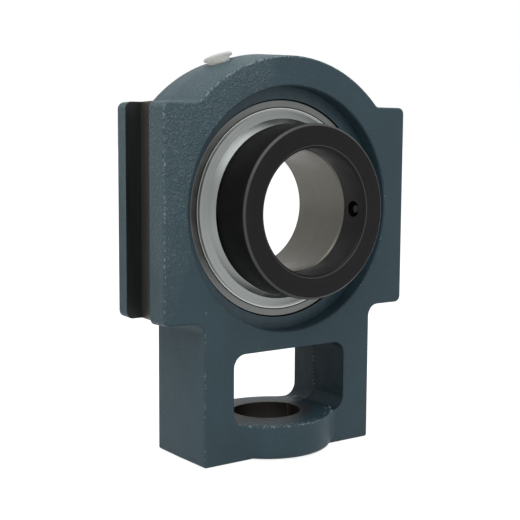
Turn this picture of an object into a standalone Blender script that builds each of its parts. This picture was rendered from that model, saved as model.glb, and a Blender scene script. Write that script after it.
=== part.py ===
"""Take-up housed bearing unit: a cast housing that slides on two guide rails and
carries a self-aligning ball bearing with an eccentric locking collar.

Units are metres, +Z is up and the shaft runs along Y. The collar is at the front (-Y).
The origin is on the ground under the middle of the unit's overall depth.
"""
from math import acos, asin, atan2, cos, pi, radians, sin, sqrt, tan

import bmesh
import bpy
from mathutils import Matrix, Vector

MM = 0.001

# General
GAP = 0.3 * MM
CUT_OVERRUN = 6.0 * MM
FILLET_SINK = 0.05 * MM
TURN_STEPS = 48
FINE_TURN_STEPS = 56
TRACK_STEPS = 6

# Bearing
BORE_DIAMETER = 60.0 * MM
BEARING_DIAMETER = 110.0 * MM
OUTER_RING_WIDTH = 24.0 * MM
BALL_COUNT = 10
# The ball's share of the section between bore and outside, and the groove shoulder's of the ball
BALL_SHARE = 0.3175
RACE_SHOULDER_SHARE = 0.2167
RING_SIDE_ROOM = 4.0625 * MM
INNER_REAR_STANDOUT = 1.5 * MM
NOSE_LENGTH = 6.4 * MM
RING_CHAMFER = 0.6 * MM
BORE_CHAMFER = 1.2 * MM
CAGE_THICKNESS = 4.0 * MM
CAGE_WEB = 0.9 * MM
CAGE_PRONG = 4.6 * MM

# Seals and flingers
SEAL_THICKNESS = 1.3 * MM
SEAL_GROOVE_DEPTH = 3.0 * MM
SEAL_LIP = 1.6 * MM
FLINGER_SHEET = 0.9 * MM
FLINGER_RIM = 2.4 * MM
FLINGER_DISH_RISE = 1.3 * MM
FLINGER_HUB_RISE = 3.0 * MM
FLINGER_HUB_MARGIN = 0.5 * MM
FLINGER_HUB_SLOPE = 1.5 * MM

# Locking collar and its set screw
COLLAR_STEP = 4.0 * MM
COLLAR_STANDOFF = 5.3 * MM
COLLAR_WIDTH = 22.3 * MM
COLLAR_CHAMFER = 1.8 * MM
CAM_SHARE = 0.575
ECCENTRICITY = 1.0 * MM
CAM_CLEARANCE = 0.35 * MM
SET_SCREW_DIAMETER = 8.0 * MM
SET_SCREW_SETBACK = 8.6 * MM
SET_SCREW_RECESS = 1.4 * MM
SET_SCREW_SINK = 1.3 * MM
HEX_KEY_SIZE = 4.0 * MM
HEX_SOCKET_DEPTH = 4.0 * MM

# Housing round the bearing
FRONT_DEPTH = 21.0 * MM
REAR_DEPTH = 22.0 * MM
SEAT_MARGIN = 0.5 * MM
SEAT_CHAMFER = 1.0 * MM
COUNTERBORE_STEP = 5.0 * MM
COUNTERBORE_CHAMFER = 0.6 * MM
GREASE_GROOVE_WIDTH = 4.0 * MM
GREASE_GROOVE_DEPTH = 1.2 * MM
BOSS_WALL = 15.8 * MM

# Shoulders with their guide slots
SHOULDER_TOP = 51.0 * MM
SHOULDER_BOTTOM = 51.5 * MM
GUIDE_WALL = 5.0 * MM
GUIDE_SLOT_DEPTH = 8.0 * MM
GUIDE_SLOT_WIDTH = 22.0 * MM
GUIDE_SLOT_OFFSET = 2.5 * MM

# Lower frame with its window and adjusting-screw boss
WINDOW_BRIDGE = 8.7 * MM
WINDOW_HEIGHT = 35.3 * MM
WINDOW_SIDE_ROOM = 0.5 * MM
WINDOW_CORNER = 6.5 * MM
WINDOW_DRAFT = radians(3.0)
PARTING_OFFSET = 3.5 * MM
FRAME_SIDE_WALL = 17.0 * MM
END_WALL = 17.4 * MM
SCREW_HOLE_DIAMETER = 35.0 * MM
SCREW_BOSS_WALL = 16.0 * MM
SCREW_BOSS_FILLET = 8.0 * MM
SCREW_BOSS_ROUND = 3.0 * MM
SCREW_BOSS_LIFT = 0.3 * MM

# Cast corners
SHOULDER_CORNER = 3.5 * MM
FOOT_CORNER = 3.0 * MM
WAIST_FILLET = 6.0 * MM
BOSS_FILLET = 4.0 * MM
FACE_ROUND = 1.5 * MM

# Grease hole and its plug
GREASE_HOLE_ANGLE = radians(22.4)
GREASE_HOLE_DIAMETER = 8.4 * MM
SPOT_FACE_DIAMETER = 16.5 * MM
SPOT_FACE_DEPTH = 0.6 * MM
PLUG_CAP_DIAMETER = 14.4 * MM
PLUG_CAP_THICKNESS = 1.2 * MM
PLUG_BODY_DIAMETER = 10.8 * MM
PLUG_BODY_HEIGHT = 2.3 * MM
PLUG_CONE_HEIGHT = 0.9 * MM
PLUG_STEM_LENGTH = 9.0 * MM
PLUG_CAP_ROUND = 0.4 * MM

# Sizes that follow from the ones above
bore_radius = BORE_DIAMETER / 2
outside_radius = BEARING_DIAMETER / 2
pitch_radius = (bore_radius + outside_radius) / 2
ring_half = OUTER_RING_WIDTH / 2
# The balls fill their share of the section, as far as the ring's width leaves room for them.
ball_radius = min(BALL_SHARE * (outside_radius - bore_radius), ring_half - RING_SIDE_ROOM)
groove_radius = ball_radius + GAP
race_shoulder_height = RACE_SHOULDER_SHARE * 2 * ball_radius
inner_shoulder = pitch_radius - ball_radius + race_shoulder_height
outer_shoulder = pitch_radius + ball_radius - race_shoulder_height
seal_groove_radius = outer_shoulder + SEAL_GROOVE_DEPTH
flinger_back = ring_half - FLINGER_SHEET
seal_front = flinger_back - GAP
seal_back = seal_front - SEAL_THICKNESS
seat_radius = outside_radius + GAP
seat_half = ring_half + SEAT_MARGIN
counterbore_radius = outside_radius + COUNTERBORE_STEP
cam_radius = bore_radius + CAM_SHARE * (inner_shoulder - bore_radius)
collar_radius = inner_shoulder + COLLAR_STEP
collar_bore = bore_radius + GAP
collar_back = ring_half + COLLAR_STANDOFF
collar_reach = collar_back + COLLAR_WIDTH
inner_reach_front = collar_back + NOSE_LENGTH
inner_reach_rear = ring_half + INNER_REAR_STANDOUT
flinger_hub_radius = collar_radius + FLINGER_HUB_MARGIN
set_screw_y = collar_reach - SET_SCREW_SETBACK
set_screw_length = collar_radius - SET_SCREW_SINK - collar_bore - SET_SCREW_RECESS
boss_radius = counterbore_radius + BOSS_WALL
guide_floor = counterbore_radius + GUIDE_WALL
half_width = guide_floor + GUIDE_SLOT_DEPTH
screw_hole_radius = SCREW_HOLE_DIAMETER / 2
screw_boss_radius = screw_hole_radius + SCREW_BOSS_WALL
window_half = screw_boss_radius + WINDOW_SIDE_ROOM
frame_half = window_half + FRAME_SIDE_WALL
window_top = counterbore_radius + WINDOW_BRIDGE
window_bottom = window_top + WINDOW_HEIGHT
shaft_height = window_bottom + END_WALL
bearing_y = (collar_reach - max(screw_boss_radius, REAR_DEPTH)) / 2
bearing_centre = Vector((0.0, bearing_y, shaft_height))


def clear_scene():
    """Remove every object that the scene starts with."""
    for existing in list(bpy.data.objects):
        bpy.data.objects.remove(existing, do_unlink=True)


def material(name, colour, roughness, metallic=0.0):
    """Return a Principled material of a linear RGB colour."""
    result = bpy.data.materials.new(name)
    result.use_nodes = True
    shader = result.node_tree.nodes["Principled BSDF"]
    shader.inputs["Base Color"].default_value = (*colour, 1.0)
    shader.inputs["Roughness"].default_value = roughness
    shader.inputs["Metallic"].default_value = metallic
    result.diffuse_color = (*colour, 1.0)
    return result


def painted_cast_iron():
    """Dark blue-grey housing paint over rough cast iron."""
    return material("painted_cast_iron", (0.052, 0.085, 0.105), 0.55)


def bearing_steel(name="bearing_steel"):
    """Ground and hardened ring steel."""
    return material(name, (0.42, 0.40, 0.37), 0.3, 1.0)


def zinc_plated_sheet(name):
    """Bright pressed sheet steel."""
    return material(name, (0.62, 0.63, 0.62), 0.28, 1.0)


def blackened_steel(name):
    """Turned steel with a black oxide finish."""
    return material(name, (0.03, 0.03, 0.031), 0.38, 0.7)


def seal_rubber(name):
    """Black nitrile rubber."""
    return material(name, (0.02, 0.02, 0.02), 0.7)


def cage_polyamide():
    """Pale glass-filled polyamide."""
    return material("cage_polyamide", (0.55, 0.50, 0.38), 0.55)


def plug_plastic():
    """Off-white moulded plastic."""
    return material("plug_plastic", (0.62, 0.62, 0.55), 0.45)


def empty(name, location, rotation=(0.0, 0.0, 0.0), parent=None):
    """Add an empty that marks an axis."""
    result = bpy.data.objects.new(name, None)
    result.location = location
    result.rotation_euler = rotation
    result.parent = parent
    result.empty_display_size = 10 * MM
    bpy.context.collection.objects.link(result)
    return result


def add_object(name, shape, surface=None, parent=None, location=(0.0, 0.0, 0.0)):
    """Turn a finished bmesh into a shaded object and free the bmesh."""
    bmesh.ops.recalc_face_normals(shape, faces=shape.faces[:])
    mesh = bpy.data.meshes.new(name)
    shape.to_mesh(mesh)
    shape.free()
    mesh.shade_smooth()
    mesh.set_sharp_from_angle(angle=radians(32))
    result = bpy.data.objects.new(name, mesh)
    result.parent = parent
    result.location = location
    if surface:
        mesh.materials.append(surface)
    bpy.context.collection.objects.link(result)
    return result


def cut(target, shape, name):
    """Cut a closed bmesh out of an object with a live Boolean."""
    combine(target, shape, name, "DIFFERENCE")


def join(target, shape, name):
    """Join a closed bmesh to an object with a live Boolean."""
    combine(target, shape, name, "UNION")


def combine(target, shape, name, operation):
    """Keep the tool hidden beside the object that it shapes."""
    tool = add_object(name, shape, parent=target.parent)
    tool.location = target.location
    tool.hide_render = True
    tool.display_type = "WIRE"
    boolean = target.modifiers.new(name, "BOOLEAN")
    boolean.operation = operation
    boolean.solver = "EXACT"
    boolean.object = tool


def arc(centre, radius, start, end, steps):
    """Return points on an arc in a plane, both ends included."""
    points = []
    for index in range(steps + 1):
        angle = start + (end - start) * index / steps
        points.append((centre[0] + radius * cos(angle), centre[1] + radius * sin(angle)))
    return points


def turned(profile, steps=TURN_STEPS, offset=0.0, closed=True):
    """Turn a profile of (radius, y) points all the way round the shaft axis.

    A closed profile makes a ring. An open one starts and ends on the axis and makes a
    solid. An offset moves the turning axis along +X, for the eccentric faces.
    """
    shape = bmesh.new()
    corners = [shape.verts.new((radius, y, 0.0)) for radius, y in profile]
    first = 0 if closed else 1
    edges = [shape.edges.new((corners[i - 1], corners[i])) for i in range(first, len(corners))]
    bmesh.ops.spin(
        shape, geom=corners + edges, cent=(0, 0, 0), axis=(0, 1, 0),
        angle=2 * pi, steps=steps, use_merge=True,
    )
    if not closed:
        bmesh.ops.remove_doubles(shape, verts=shape.verts[:], dist=0.001 * MM)
    bmesh.ops.translate(shape, verts=shape.verts[:], vec=(offset, 0, 0))
    return shape


def turned_solid(profile, steps=TURN_STEPS, offset=0.0):
    """Turn an open profile whose first and last points lie on the axis."""
    return turned(profile, steps, offset, closed=False)


def mirrored(profile):
    """Return a profile turned over to the rear side, in the same sense."""
    return [(radius, -y) for radius, y in reversed(profile)]


def face_of(shape, points, y=0.0):
    """Add one flat face from (x, z) points at a given y."""
    return shape.faces.new([shape.verts.new((x, y, z)) for x, z in points])


def block(low, high):
    """Return a closed box between two corners."""
    shape = bmesh.new()
    bmesh.ops.create_cube(shape, size=1.0)
    size = Vector(high) - Vector(low)
    bmesh.ops.scale(shape, verts=shape.verts[:], vec=size)
    return moved(shape, (Vector(high) + Vector(low)) / 2)


def extruded(points, low, high):
    """Extrude an outline of (x, z) points from one depth to another."""
    shape = bmesh.new()
    base = face_of(shape, points, low)
    grown = bmesh.ops.extrude_face_region(shape, geom=[base])
    tops = [item for item in grown["geom"] if isinstance(item, bmesh.types.BMVert)]
    bmesh.ops.translate(shape, verts=tops, vec=(0, high - low, 0))
    return shape


def rotated(shape, angle, axis):
    """Rotate a whole shape about the origin."""
    bmesh.ops.rotate(shape, verts=shape.verts[:], cent=(0, 0, 0), matrix=Matrix.Rotation(angle, 3, axis))
    return shape


def moved(shape, offset):
    """Move a whole shape."""
    bmesh.ops.translate(shape, verts=shape.verts[:], vec=offset)
    return shape


def rod(radius, length, segments):
    """Return a closed rod along Z, centred on the origin."""
    shape = bmesh.new()
    bmesh.ops.create_cone(
        shape, cap_ends=True, segments=segments, radius1=radius, radius2=radius, depth=length,
    )
    return shape


def rounded(corner, before, after, radius, steps=4):
    """Return the points of a fillet at a corner between its two neighbours."""
    corner, before, after = Vector(corner), Vector(before), Vector(after)
    to_before = (before - corner).normalized()
    to_after = (after - corner).normalized()
    half_angle = acos(max(-1.0, min(1.0, to_before.dot(to_after)))) / 2
    reach = radius / sin(half_angle)
    centre = corner + (to_before + to_after).normalized() * reach
    first = corner + to_before * (radius / sin(half_angle) * cos(half_angle))
    last = corner + to_after * (radius / sin(half_angle) * cos(half_angle))
    start = atan2(first.y - centre.y, first.x - centre.x)
    end = atan2(last.y - centre.y, last.x - centre.x)
    if end - start > pi:
        end -= 2 * pi
    if start - end > pi:
        end += 2 * pi
    return arc(centre, radius, start, end, steps)


def housing_half_outline():
    """Return the right half of the front view, from the foot up to the crown."""
    foot_z = -shaft_height
    foot = (frame_half, foot_z)
    waist = (frame_half, -SHOULDER_BOTTOM)
    low_shoulder = (half_width, -SHOULDER_BOTTOM)
    high_shoulder = (half_width, SHOULDER_TOP)
    outline = []
    outline += rounded(foot, (0.0, foot_z), waist, FOOT_CORNER, 3)
    outline += rounded(waist, foot, low_shoulder, WAIST_FILLET)
    outline += rounded(low_shoulder, waist, high_shoulder, SHOULDER_CORNER)
    outline += rounded(high_shoulder, low_shoulder, (0.0, SHOULDER_TOP), SHOULDER_CORNER)
    # The fillet between the shoulder's top and the round boss touches both.
    fillet_z = SHOULDER_TOP + BOSS_FILLET
    fillet_reach = boss_radius + BOSS_FILLET
    fillet_x = sqrt(fillet_reach ** 2 - fillet_z ** 2)
    boss_angle = atan2(fillet_z, fillet_x)
    outline += arc((fillet_x, fillet_z), BOSS_FILLET, -pi / 2, -pi + boss_angle, 3)
    outline += arc((0.0, 0.0), boss_radius, boss_angle, pi / 2, 18)[1:]
    return outline


def housing_blank():
    """Return the cast block: the front outline with rounded front and rear edges."""
    right = housing_half_outline()
    left = [(-x, z) for x, z in reversed(right[:-1])]
    shape = extruded(right + left, -FRONT_DEPTH, REAR_DEPTH)
    rims = [
        edge for edge in shape.edges
        if abs(edge.verts[0].co.y - edge.verts[1].co.y) < 0.01 * MM
    ]
    bmesh.ops.bevel(
        shape, geom=rims, offset=FACE_ROUND, offset_type="OFFSET", affect="EDGES",
        segments=2, profile=0.5, material=-1, clamp_overlap=True,
    )
    return shape


def screw_boss_side(depth, facing):
    """Return one side of the screw boss in plan, with its two fillets to the face."""
    fillet_y = depth + SCREW_BOSS_FILLET - FILLET_SINK
    fillet_x = sqrt((screw_boss_radius + SCREW_BOSS_FILLET) ** 2 - fillet_y ** 2)
    meets = atan2(fillet_y, fillet_x)
    inside = depth - SCREW_BOSS_FILLET
    right = arc((fillet_x, fillet_y), SCREW_BOSS_FILLET, -pi / 2, -pi + meets, 4)
    crown = arc((0.0, 0.0), screw_boss_radius, meets, pi - meets, 12)[1:-1]
    left = [(-x, y) for x, y in reversed(right)]
    side = [(fillet_x, inside)] + right + crown + left + [(-fillet_x, inside)]
    return [(facing * x, facing * y) for x, y in side]


def screw_boss():
    """Return the boss round the adjusting-screw hole, filleted into both faces.

    It stands higher than the end wall, and the window cut levels its top. It stops
    just short of the foot, so that the unit stands on its flat foot alone.
    """
    outline = screw_boss_side(FRONT_DEPTH, -1) + screw_boss_side(REAR_DEPTH, 1)
    foot_z = -shaft_height + SCREW_BOSS_LIFT
    shape = bmesh.new()
    base = shape.faces.new([shape.verts.new((x, y, foot_z)) for x, y in outline])
    grown = bmesh.ops.extrude_face_region(shape, geom=[base])
    tops = [item for item in grown["geom"] if isinstance(item, bmesh.types.BMVert)]
    bmesh.ops.translate(shape, verts=tops, vec=(0, 0, END_WALL + WINDOW_HEIGHT / 4))
    proud = min(FRONT_DEPTH, REAR_DEPTH) - FACE_ROUND
    rims = [
        edge for edge in shape.edges
        if all(vert.co.z < foot_z + FILLET_SINK for vert in edge.verts)
        and abs(edge.verts[0].co.y + edge.verts[1].co.y) / 2 > proud
    ]
    bmesh.ops.bevel(
        shape, geom=rims, offset=SCREW_BOSS_ROUND, offset_type="OFFSET", affect="EDGES",
        segments=2, profile=0.5, material=-1, clamp_overlap=True,
    )
    return shape


def window_cutter():
    """Return the round-cornered window that lets the screw's nut in.

    It is straight in front of the parting line and widens behind it, as the pattern's
    draft leaves it.
    """
    low = (-window_half, -window_bottom)
    high = (window_half, -window_top)
    corners = [low, (high[0], low[1]), high, (low[0], high[1])]
    outline = []
    for index, corner in enumerate(corners):
        outline += rounded(corner, corners[index - 1], corners[(index + 1) % 4], WINDOW_CORNER)
    reach = screw_boss_radius + CUT_OVERRUN
    shape = extruded(outline, -reach, PARTING_OFFSET)
    parting = [
        face for face in shape.faces
        if all(abs(vert.co.y - PARTING_OFFSET) < FILLET_SINK for vert in face.verts)
    ]
    grown = bmesh.ops.extrude_face_region(shape, geom=parting)
    bmesh.ops.delete(shape, geom=parting, context="FACES_ONLY")
    ends = [item for item in grown["geom"] if isinstance(item, bmesh.types.BMVert)]
    run = reach - PARTING_OFFSET
    spread = run * tan(WINDOW_DRAFT)
    middle = Matrix.Translation((0, 0, (window_top + window_bottom) / 2))
    bmesh.ops.scale(
        shape, verts=ends, space=middle,
        vec=(1 + spread / window_half, 1, 1 + spread / (WINDOW_HEIGHT / 2)),
    )
    bmesh.ops.translate(shape, verts=ends, vec=(0, run, 0))
    return shape


def bore_cutter():
    """Return the turned cutter: two counterbores, the ball-shaped seat and its grease groove."""
    seat_angle = asin(seat_half / seat_radius)
    seat_edge = seat_radius * cos(seat_angle)
    groove_half = GREASE_GROOVE_WIDTH / 2
    groove_angle = asin(groove_half / seat_radius)
    mouth = counterbore_radius + COUNTERBORE_CHAMFER + CUT_OVERRUN
    profile = [(0.0, -FRONT_DEPTH - CUT_OVERRUN), (mouth, -FRONT_DEPTH - CUT_OVERRUN)]
    profile += [(counterbore_radius, -FRONT_DEPTH + COUNTERBORE_CHAMFER)]
    profile += [(counterbore_radius, -seat_half), (seat_edge + SEAT_CHAMFER, -seat_half)]
    front = arc((0.0, 0.0), seat_radius, -seat_angle + SEAT_CHAMFER / seat_radius, -groove_angle, 3)
    profile += front
    profile += [(seat_radius + GREASE_GROOVE_DEPTH, -groove_half)]
    profile += [(seat_radius + GREASE_GROOVE_DEPTH, groove_half)]
    profile += [(radius, -y) for radius, y in reversed(front)]
    profile += [(seat_edge + SEAT_CHAMFER, seat_half), (counterbore_radius, seat_half)]
    profile += [(counterbore_radius, REAR_DEPTH - COUNTERBORE_CHAMFER)]
    profile += [(mouth, REAR_DEPTH + CUT_OVERRUN), (0.0, REAR_DEPTH + CUT_OVERRUN)]
    return turned_solid(profile, FINE_TURN_STEPS)


def guide_slot_cutter(side):
    """Return one guide slot, open at both ends of its shoulder."""
    inner = side * guide_floor
    outer = side * (half_width + CUT_OVERRUN)
    front = GUIDE_SLOT_OFFSET - GUIDE_SLOT_WIDTH / 2
    low = (min(inner, outer), front, -SHOULDER_BOTTOM - CUT_OVERRUN)
    high = (max(inner, outer), front + GUIDE_SLOT_WIDTH, SHOULDER_TOP + CUT_OVERRUN)
    return block(low, high)


def screw_hole_cutter():
    """Return the vertical adjusting-screw hole through the end wall."""
    shape = rod(screw_hole_radius, END_WALL + 2 * CUT_OVERRUN, 32)
    return moved(shape, (0, 0, -shaft_height + END_WALL / 2))


def grease_direction():
    """Return the outward direction of the grease hole."""
    return Vector((-sin(GREASE_HOLE_ANGLE), 0.0, cos(GREASE_HOLE_ANGLE)))


def grease_hole_cutter():
    """Return the drilled grease hole with its spot face, down to the seat's groove."""
    face = boss_radius - SPOT_FACE_DEPTH
    hole = GREASE_HOLE_DIAMETER / 2
    spot = SPOT_FACE_DIAMETER / 2
    bottom = seat_radius + GREASE_GROOVE_DEPTH / 2
    top = boss_radius + CUT_OVERRUN
    profile = [(0.0, bottom), (hole, bottom), (hole, face), (spot, face), (spot, top), (0.0, top)]
    shape = rotated(turned_solid(profile, 20), pi / 2, "X")
    return rotated(shape, -GREASE_HOLE_ANGLE, "Y")


def build_housing(axis):
    """Build the one-piece casting with all its machined faces."""
    housing = add_object("housing", housing_blank(), painted_cast_iron(), axis)
    join(housing, screw_boss(), "screw_boss_tool")
    cut(housing, window_cutter(), "window_tool")
    cut(housing, bore_cutter(), "bore_tool")
    cut(housing, guide_slot_cutter(-1), "left_guide_tool")
    cut(housing, guide_slot_cutter(1), "right_guide_tool")
    cut(housing, screw_hole_cutter(), "screw_hole_tool")
    cut(housing, grease_hole_cutter(), "grease_hole_tool")
    return housing


def build_grease_plug(axis):
    """Build the plastic plug that closes the grease hole, with its axis along the hole."""
    seat = boss_radius - SPOT_FACE_DEPTH + GAP
    plug_axis = empty("grease_plug_axis", grease_direction() * seat, (0, -GREASE_HOLE_ANGLE, 0), axis)
    stem = GREASE_HOLE_DIAMETER / 2 - GAP
    body = PLUG_BODY_DIAMETER / 2
    cap = PLUG_CAP_DIAMETER / 2
    cap_under = PLUG_BODY_HEIGHT
    cap_top = cap_under + PLUG_CAP_THICKNESS
    lead_in = stem / 4
    profile = [(0.0, -PLUG_STEM_LENGTH), (stem - lead_in, -PLUG_STEM_LENGTH)]
    profile += [(stem, -PLUG_STEM_LENGTH + 2 * lead_in), (stem, 0.0), (body, 0.0)]
    profile += [(body, cap_under - PLUG_CONE_HEIGHT), (cap - PLUG_CAP_ROUND / 2, cap_under)]
    profile += [(cap, cap_under + PLUG_CAP_ROUND), (cap, cap_top - PLUG_CAP_ROUND)]
    profile += [(cap - PLUG_CAP_ROUND, cap_top), (0.0, cap_top)]
    shape = rotated(turned_solid(profile, 24), pi / 2, "X")
    return add_object("grease_plug", shape, plug_plastic(), plug_axis)


def build_outer_ring(axis):
    """Build the outer ring: ball-shaped outside, ball track and two seal grooves inside."""
    face_angle = asin((ring_half - RING_CHAMFER) / outside_radius)
    face_radius = outside_radius * cos(face_angle) - RING_CHAMFER
    track_angle = acos((outer_shoulder - pitch_radius) / groove_radius)
    profile = [(face_radius, -ring_half)]
    profile += arc((0.0, 0.0), outside_radius, -face_angle, face_angle, 4)
    profile += [(face_radius, ring_half), (seal_groove_radius, ring_half)]
    profile += [(seal_groove_radius, seal_back - GAP), (outer_shoulder, seal_back - GAP)]
    profile += arc((pitch_radius, 0.0), groove_radius, track_angle, -track_angle, TRACK_STEPS)
    profile += [(outer_shoulder, GAP - seal_back), (seal_groove_radius, GAP - seal_back)]
    profile += [(seal_groove_radius, -ring_half)]
    steel = bearing_steel("outer_ring_steel")
    return add_object("outer_ring", turned(profile, FINE_TURN_STEPS), steel, axis)


def build_inner_ring(axis):
    """Build the inner ring: shaft bore, ball track and the eccentric nose for the collar."""
    track_angle = acos((pitch_radius - inner_shoulder) / groove_radius)
    nose_y = -(collar_back - GAP)
    profile = [(inner_shoulder, nose_y)]
    profile += arc((pitch_radius, 0.0), groove_radius, pi + track_angle, pi - track_angle, TRACK_STEPS)
    profile += [(inner_shoulder, inner_reach_rear - RING_CHAMFER)]
    profile += [(inner_shoulder - RING_CHAMFER, inner_reach_rear)]
    profile += [(bore_radius + BORE_CHAMFER, inner_reach_rear)]
    profile += [(bore_radius, inner_reach_rear - BORE_CHAMFER)]
    profile += [(bore_radius, -inner_reach_front + BORE_CHAMFER)]
    profile += [(bore_radius + BORE_CHAMFER, -inner_reach_front)]
    # The nose starts as plain stock and is cut down to its eccentric round below.
    nose_stock = (cam_radius + ECCENTRICITY + inner_shoulder) / 2
    profile += [(nose_stock, -inner_reach_front), (nose_stock, nose_y)]
    steel = bearing_steel("inner_ring_steel")
    ring = add_object("inner_ring", turned(profile, FINE_TURN_STEPS), steel, axis)
    outside = inner_shoulder + CUT_OVERRUN
    end = -inner_reach_front - CUT_OVERRUN
    cam_cut = [(cam_radius, nose_y), (outside, nose_y), (outside, end), (cam_radius, end)]
    cut(ring, turned(cam_cut, FINE_TURN_STEPS, ECCENTRICITY), "cam_tool")
    return ring


def build_cage(axis):
    """Build the snap cage: a closed web at the rear and prongs between the balls."""
    inner = pitch_radius - CAGE_THICKNESS / 2
    outer = pitch_radius + CAGE_THICKNESS / 2
    web_back = groove_radius + CAGE_WEB
    profile = [(inner, -CAGE_PRONG), (outer, -CAGE_PRONG), (outer, web_back), (inner, web_back)]
    cage = add_object("cage", turned(profile, 60), cage_polyamide(), axis)
    pockets = bmesh.new()
    for index in range(BALL_COUNT):
        pocket = ball_shape(groove_radius, index)
        mesh = bpy.data.meshes.new("pocket")
        pocket.to_mesh(mesh)
        pocket.free()
        pockets.from_mesh(mesh)
        bpy.data.meshes.remove(mesh)
    cut(cage, pockets, "pocket_tool")
    return cage


def ball_shape(radius, index):
    """Return a ball in its place on the pitch circle, its poles on the radial line."""
    shape = bmesh.new()
    bmesh.ops.create_uvsphere(shape, u_segments=12, v_segments=8, radius=radius)
    rotated(shape, pi / 2, "Y")
    moved(shape, (pitch_radius, 0, 0))
    return rotated(shape, -2 * pi * (index + 0.5) / BALL_COUNT, "Y")


def build_balls(axis):
    """Build the balls in their cage pockets."""
    steel = bearing_steel("ball_steel")
    for index in range(BALL_COUNT):
        add_object(f"ball_{index + 1:02d}", ball_shape(ball_radius, index), steel, axis)


def seal_profile():
    """Return the rear seal's section: a disc with a pointed lip beside the inner ring."""
    outer = seal_groove_radius - GAP
    inner = inner_shoulder + GAP
    slant = SEAL_THICKNESS / 4
    return [
        (outer, seal_back), (outer, seal_front), (inner + SEAL_LIP, seal_front), (inner, seal_front - slant),
        (inner, seal_back + slant), (inner + SEAL_LIP, seal_back),
    ]


def build_seals(axis):
    """Build the two lip seals that are pressed into the outer ring."""
    add_object("seal_rear", turned(seal_profile()), seal_rubber("seal_rear_rubber"), axis)
    add_object("seal_front", turned(mirrored(seal_profile())), seal_rubber("seal_front_rubber"), axis)


def flinger_profile(dish_rise, hub_rise):
    """Return a rear flinger's section: flat rim, shallow dish, steep hub and inner lip."""
    rim_edge = seal_groove_radius - GAP
    dish_edge = rim_edge - FLINGER_RIM
    hub_foot = flinger_back + dish_rise
    hub_top = hub_foot + hub_rise
    crest = flinger_hub_radius - FLINGER_HUB_SLOPE
    lip = inner_shoulder + GAP
    # The steep part keeps its thickness by growing outwards on one side and inwards on the other.
    half_sheet = FLINGER_SHEET / 2
    inside = [
        (rim_edge, flinger_back), (dish_edge, flinger_back), (flinger_hub_radius, hub_foot),
        (crest - half_sheet, hub_top), (lip, hub_top),
    ]
    outside = [
        (lip, hub_top + FLINGER_SHEET), (crest + half_sheet, hub_top + FLINGER_SHEET),
        (flinger_hub_radius, hub_foot + FLINGER_SHEET), (dish_edge, flinger_back + FLINGER_SHEET),
        (rim_edge, flinger_back + FLINGER_SHEET),
    ]
    return inside + outside


def build_flingers(axis):
    """Build the pressed-steel flingers that turn with the inner ring and cover the seals."""
    rear = flinger_profile(FLINGER_DISH_RISE / 3, 0.0)
    front = mirrored(flinger_profile(FLINGER_DISH_RISE, FLINGER_HUB_RISE))
    add_object("flinger_rear", turned(rear), zinc_plated_sheet("flinger_rear_zinc"), axis)
    add_object("flinger_front", turned(front), zinc_plated_sheet("flinger_front_zinc"), axis)


def build_collar(axis):
    """Build the locking collar: shaft bore, eccentric recess and the set-screw hole."""
    back = -collar_back
    front = -collar_reach
    profile = [(collar_bore + BORE_CHAMFER, front), (collar_radius - COLLAR_CHAMFER, front)]
    profile += [(collar_radius, front + COLLAR_CHAMFER), (collar_radius, back - RING_CHAMFER)]
    profile += [(collar_radius - RING_CHAMFER, back), (collar_bore, back), (collar_bore, front + BORE_CHAMFER)]
    black = blackened_steel("collar_black")
    collar = add_object("locking_collar", turned(profile, FINE_TURN_STEPS), black, axis)
    recess = cam_radius + CAM_CLEARANCE
    start = back + CUT_OVERRUN
    floor = -inner_reach_front - GAP
    recess_cut = [(0.0, start), (recess, start), (recess, floor), (0.0, floor)]
    cut(collar, turned_solid(recess_cut, FINE_TURN_STEPS, ECCENTRICITY), "recess_tool")
    hole = rotated(rod(SET_SCREW_DIAMETER / 2, collar_radius, 20), pi / 2, "Y")
    cut(collar, moved(hole, (collar_radius, -set_screw_y, 0)), "set_screw_hole_tool")
    return collar


def build_set_screw(axis):
    """Build the socket set screw in the collar's side, its axis along +X."""
    radius = SET_SCREW_DIAMETER / 2 - GAP
    point = radius / 2
    inner_end = (collar_bore + SET_SCREW_RECESS, -set_screw_y, 0.0)
    screw_axis = empty("set_screw_axis", inner_end, (0, 0, 0), axis)
    profile = [(0.0, 0.0), (point, 0.0), (radius, radius - point), (radius, set_screw_length - GAP)]
    profile += [(radius - GAP, set_screw_length), (0.0, set_screw_length)]
    shape = rotated(turned_solid(profile, 18), -pi / 2, "Z")
    screw = add_object("set_screw", shape, blackened_steel("set_screw_black"), screw_axis)
    hexagon = rotated(rod(HEX_KEY_SIZE / 2 / cos(pi / 6), 2 * HEX_SOCKET_DEPTH, 6), pi / 2, "Y")
    cut(screw, moved(hexagon, (set_screw_length, 0, 0)), "hex_socket_tool")
    return screw


def main():
    """Build the whole unit on its shaft axis."""
    clear_scene()
    axis = empty("shaft_axis", bearing_centre)
    build_housing(axis)
    build_grease_plug(axis)
    build_outer_ring(axis)
    build_inner_ring(axis)
    build_cage(axis)
    build_balls(axis)
    build_seals(axis)
    build_flingers(axis)
    build_collar(axis)
    build_set_screw(axis)


main()
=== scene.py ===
"""Looks of a take-up housed bearing unit: painted casting, insert bearing, locking collar and plug."""
import logging
from collections.abc import Callable, Sequence
from dataclasses import dataclass, replace
from enum import Enum, IntEnum
from math import acos, asin, atan2, cos, pi, radians, sin, sqrt, tan

import bmesh
import bpy
from bmesh.types import BMEdge, BMesh, BMFace, BMVert
from mathutils import Matrix, Vector


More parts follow.
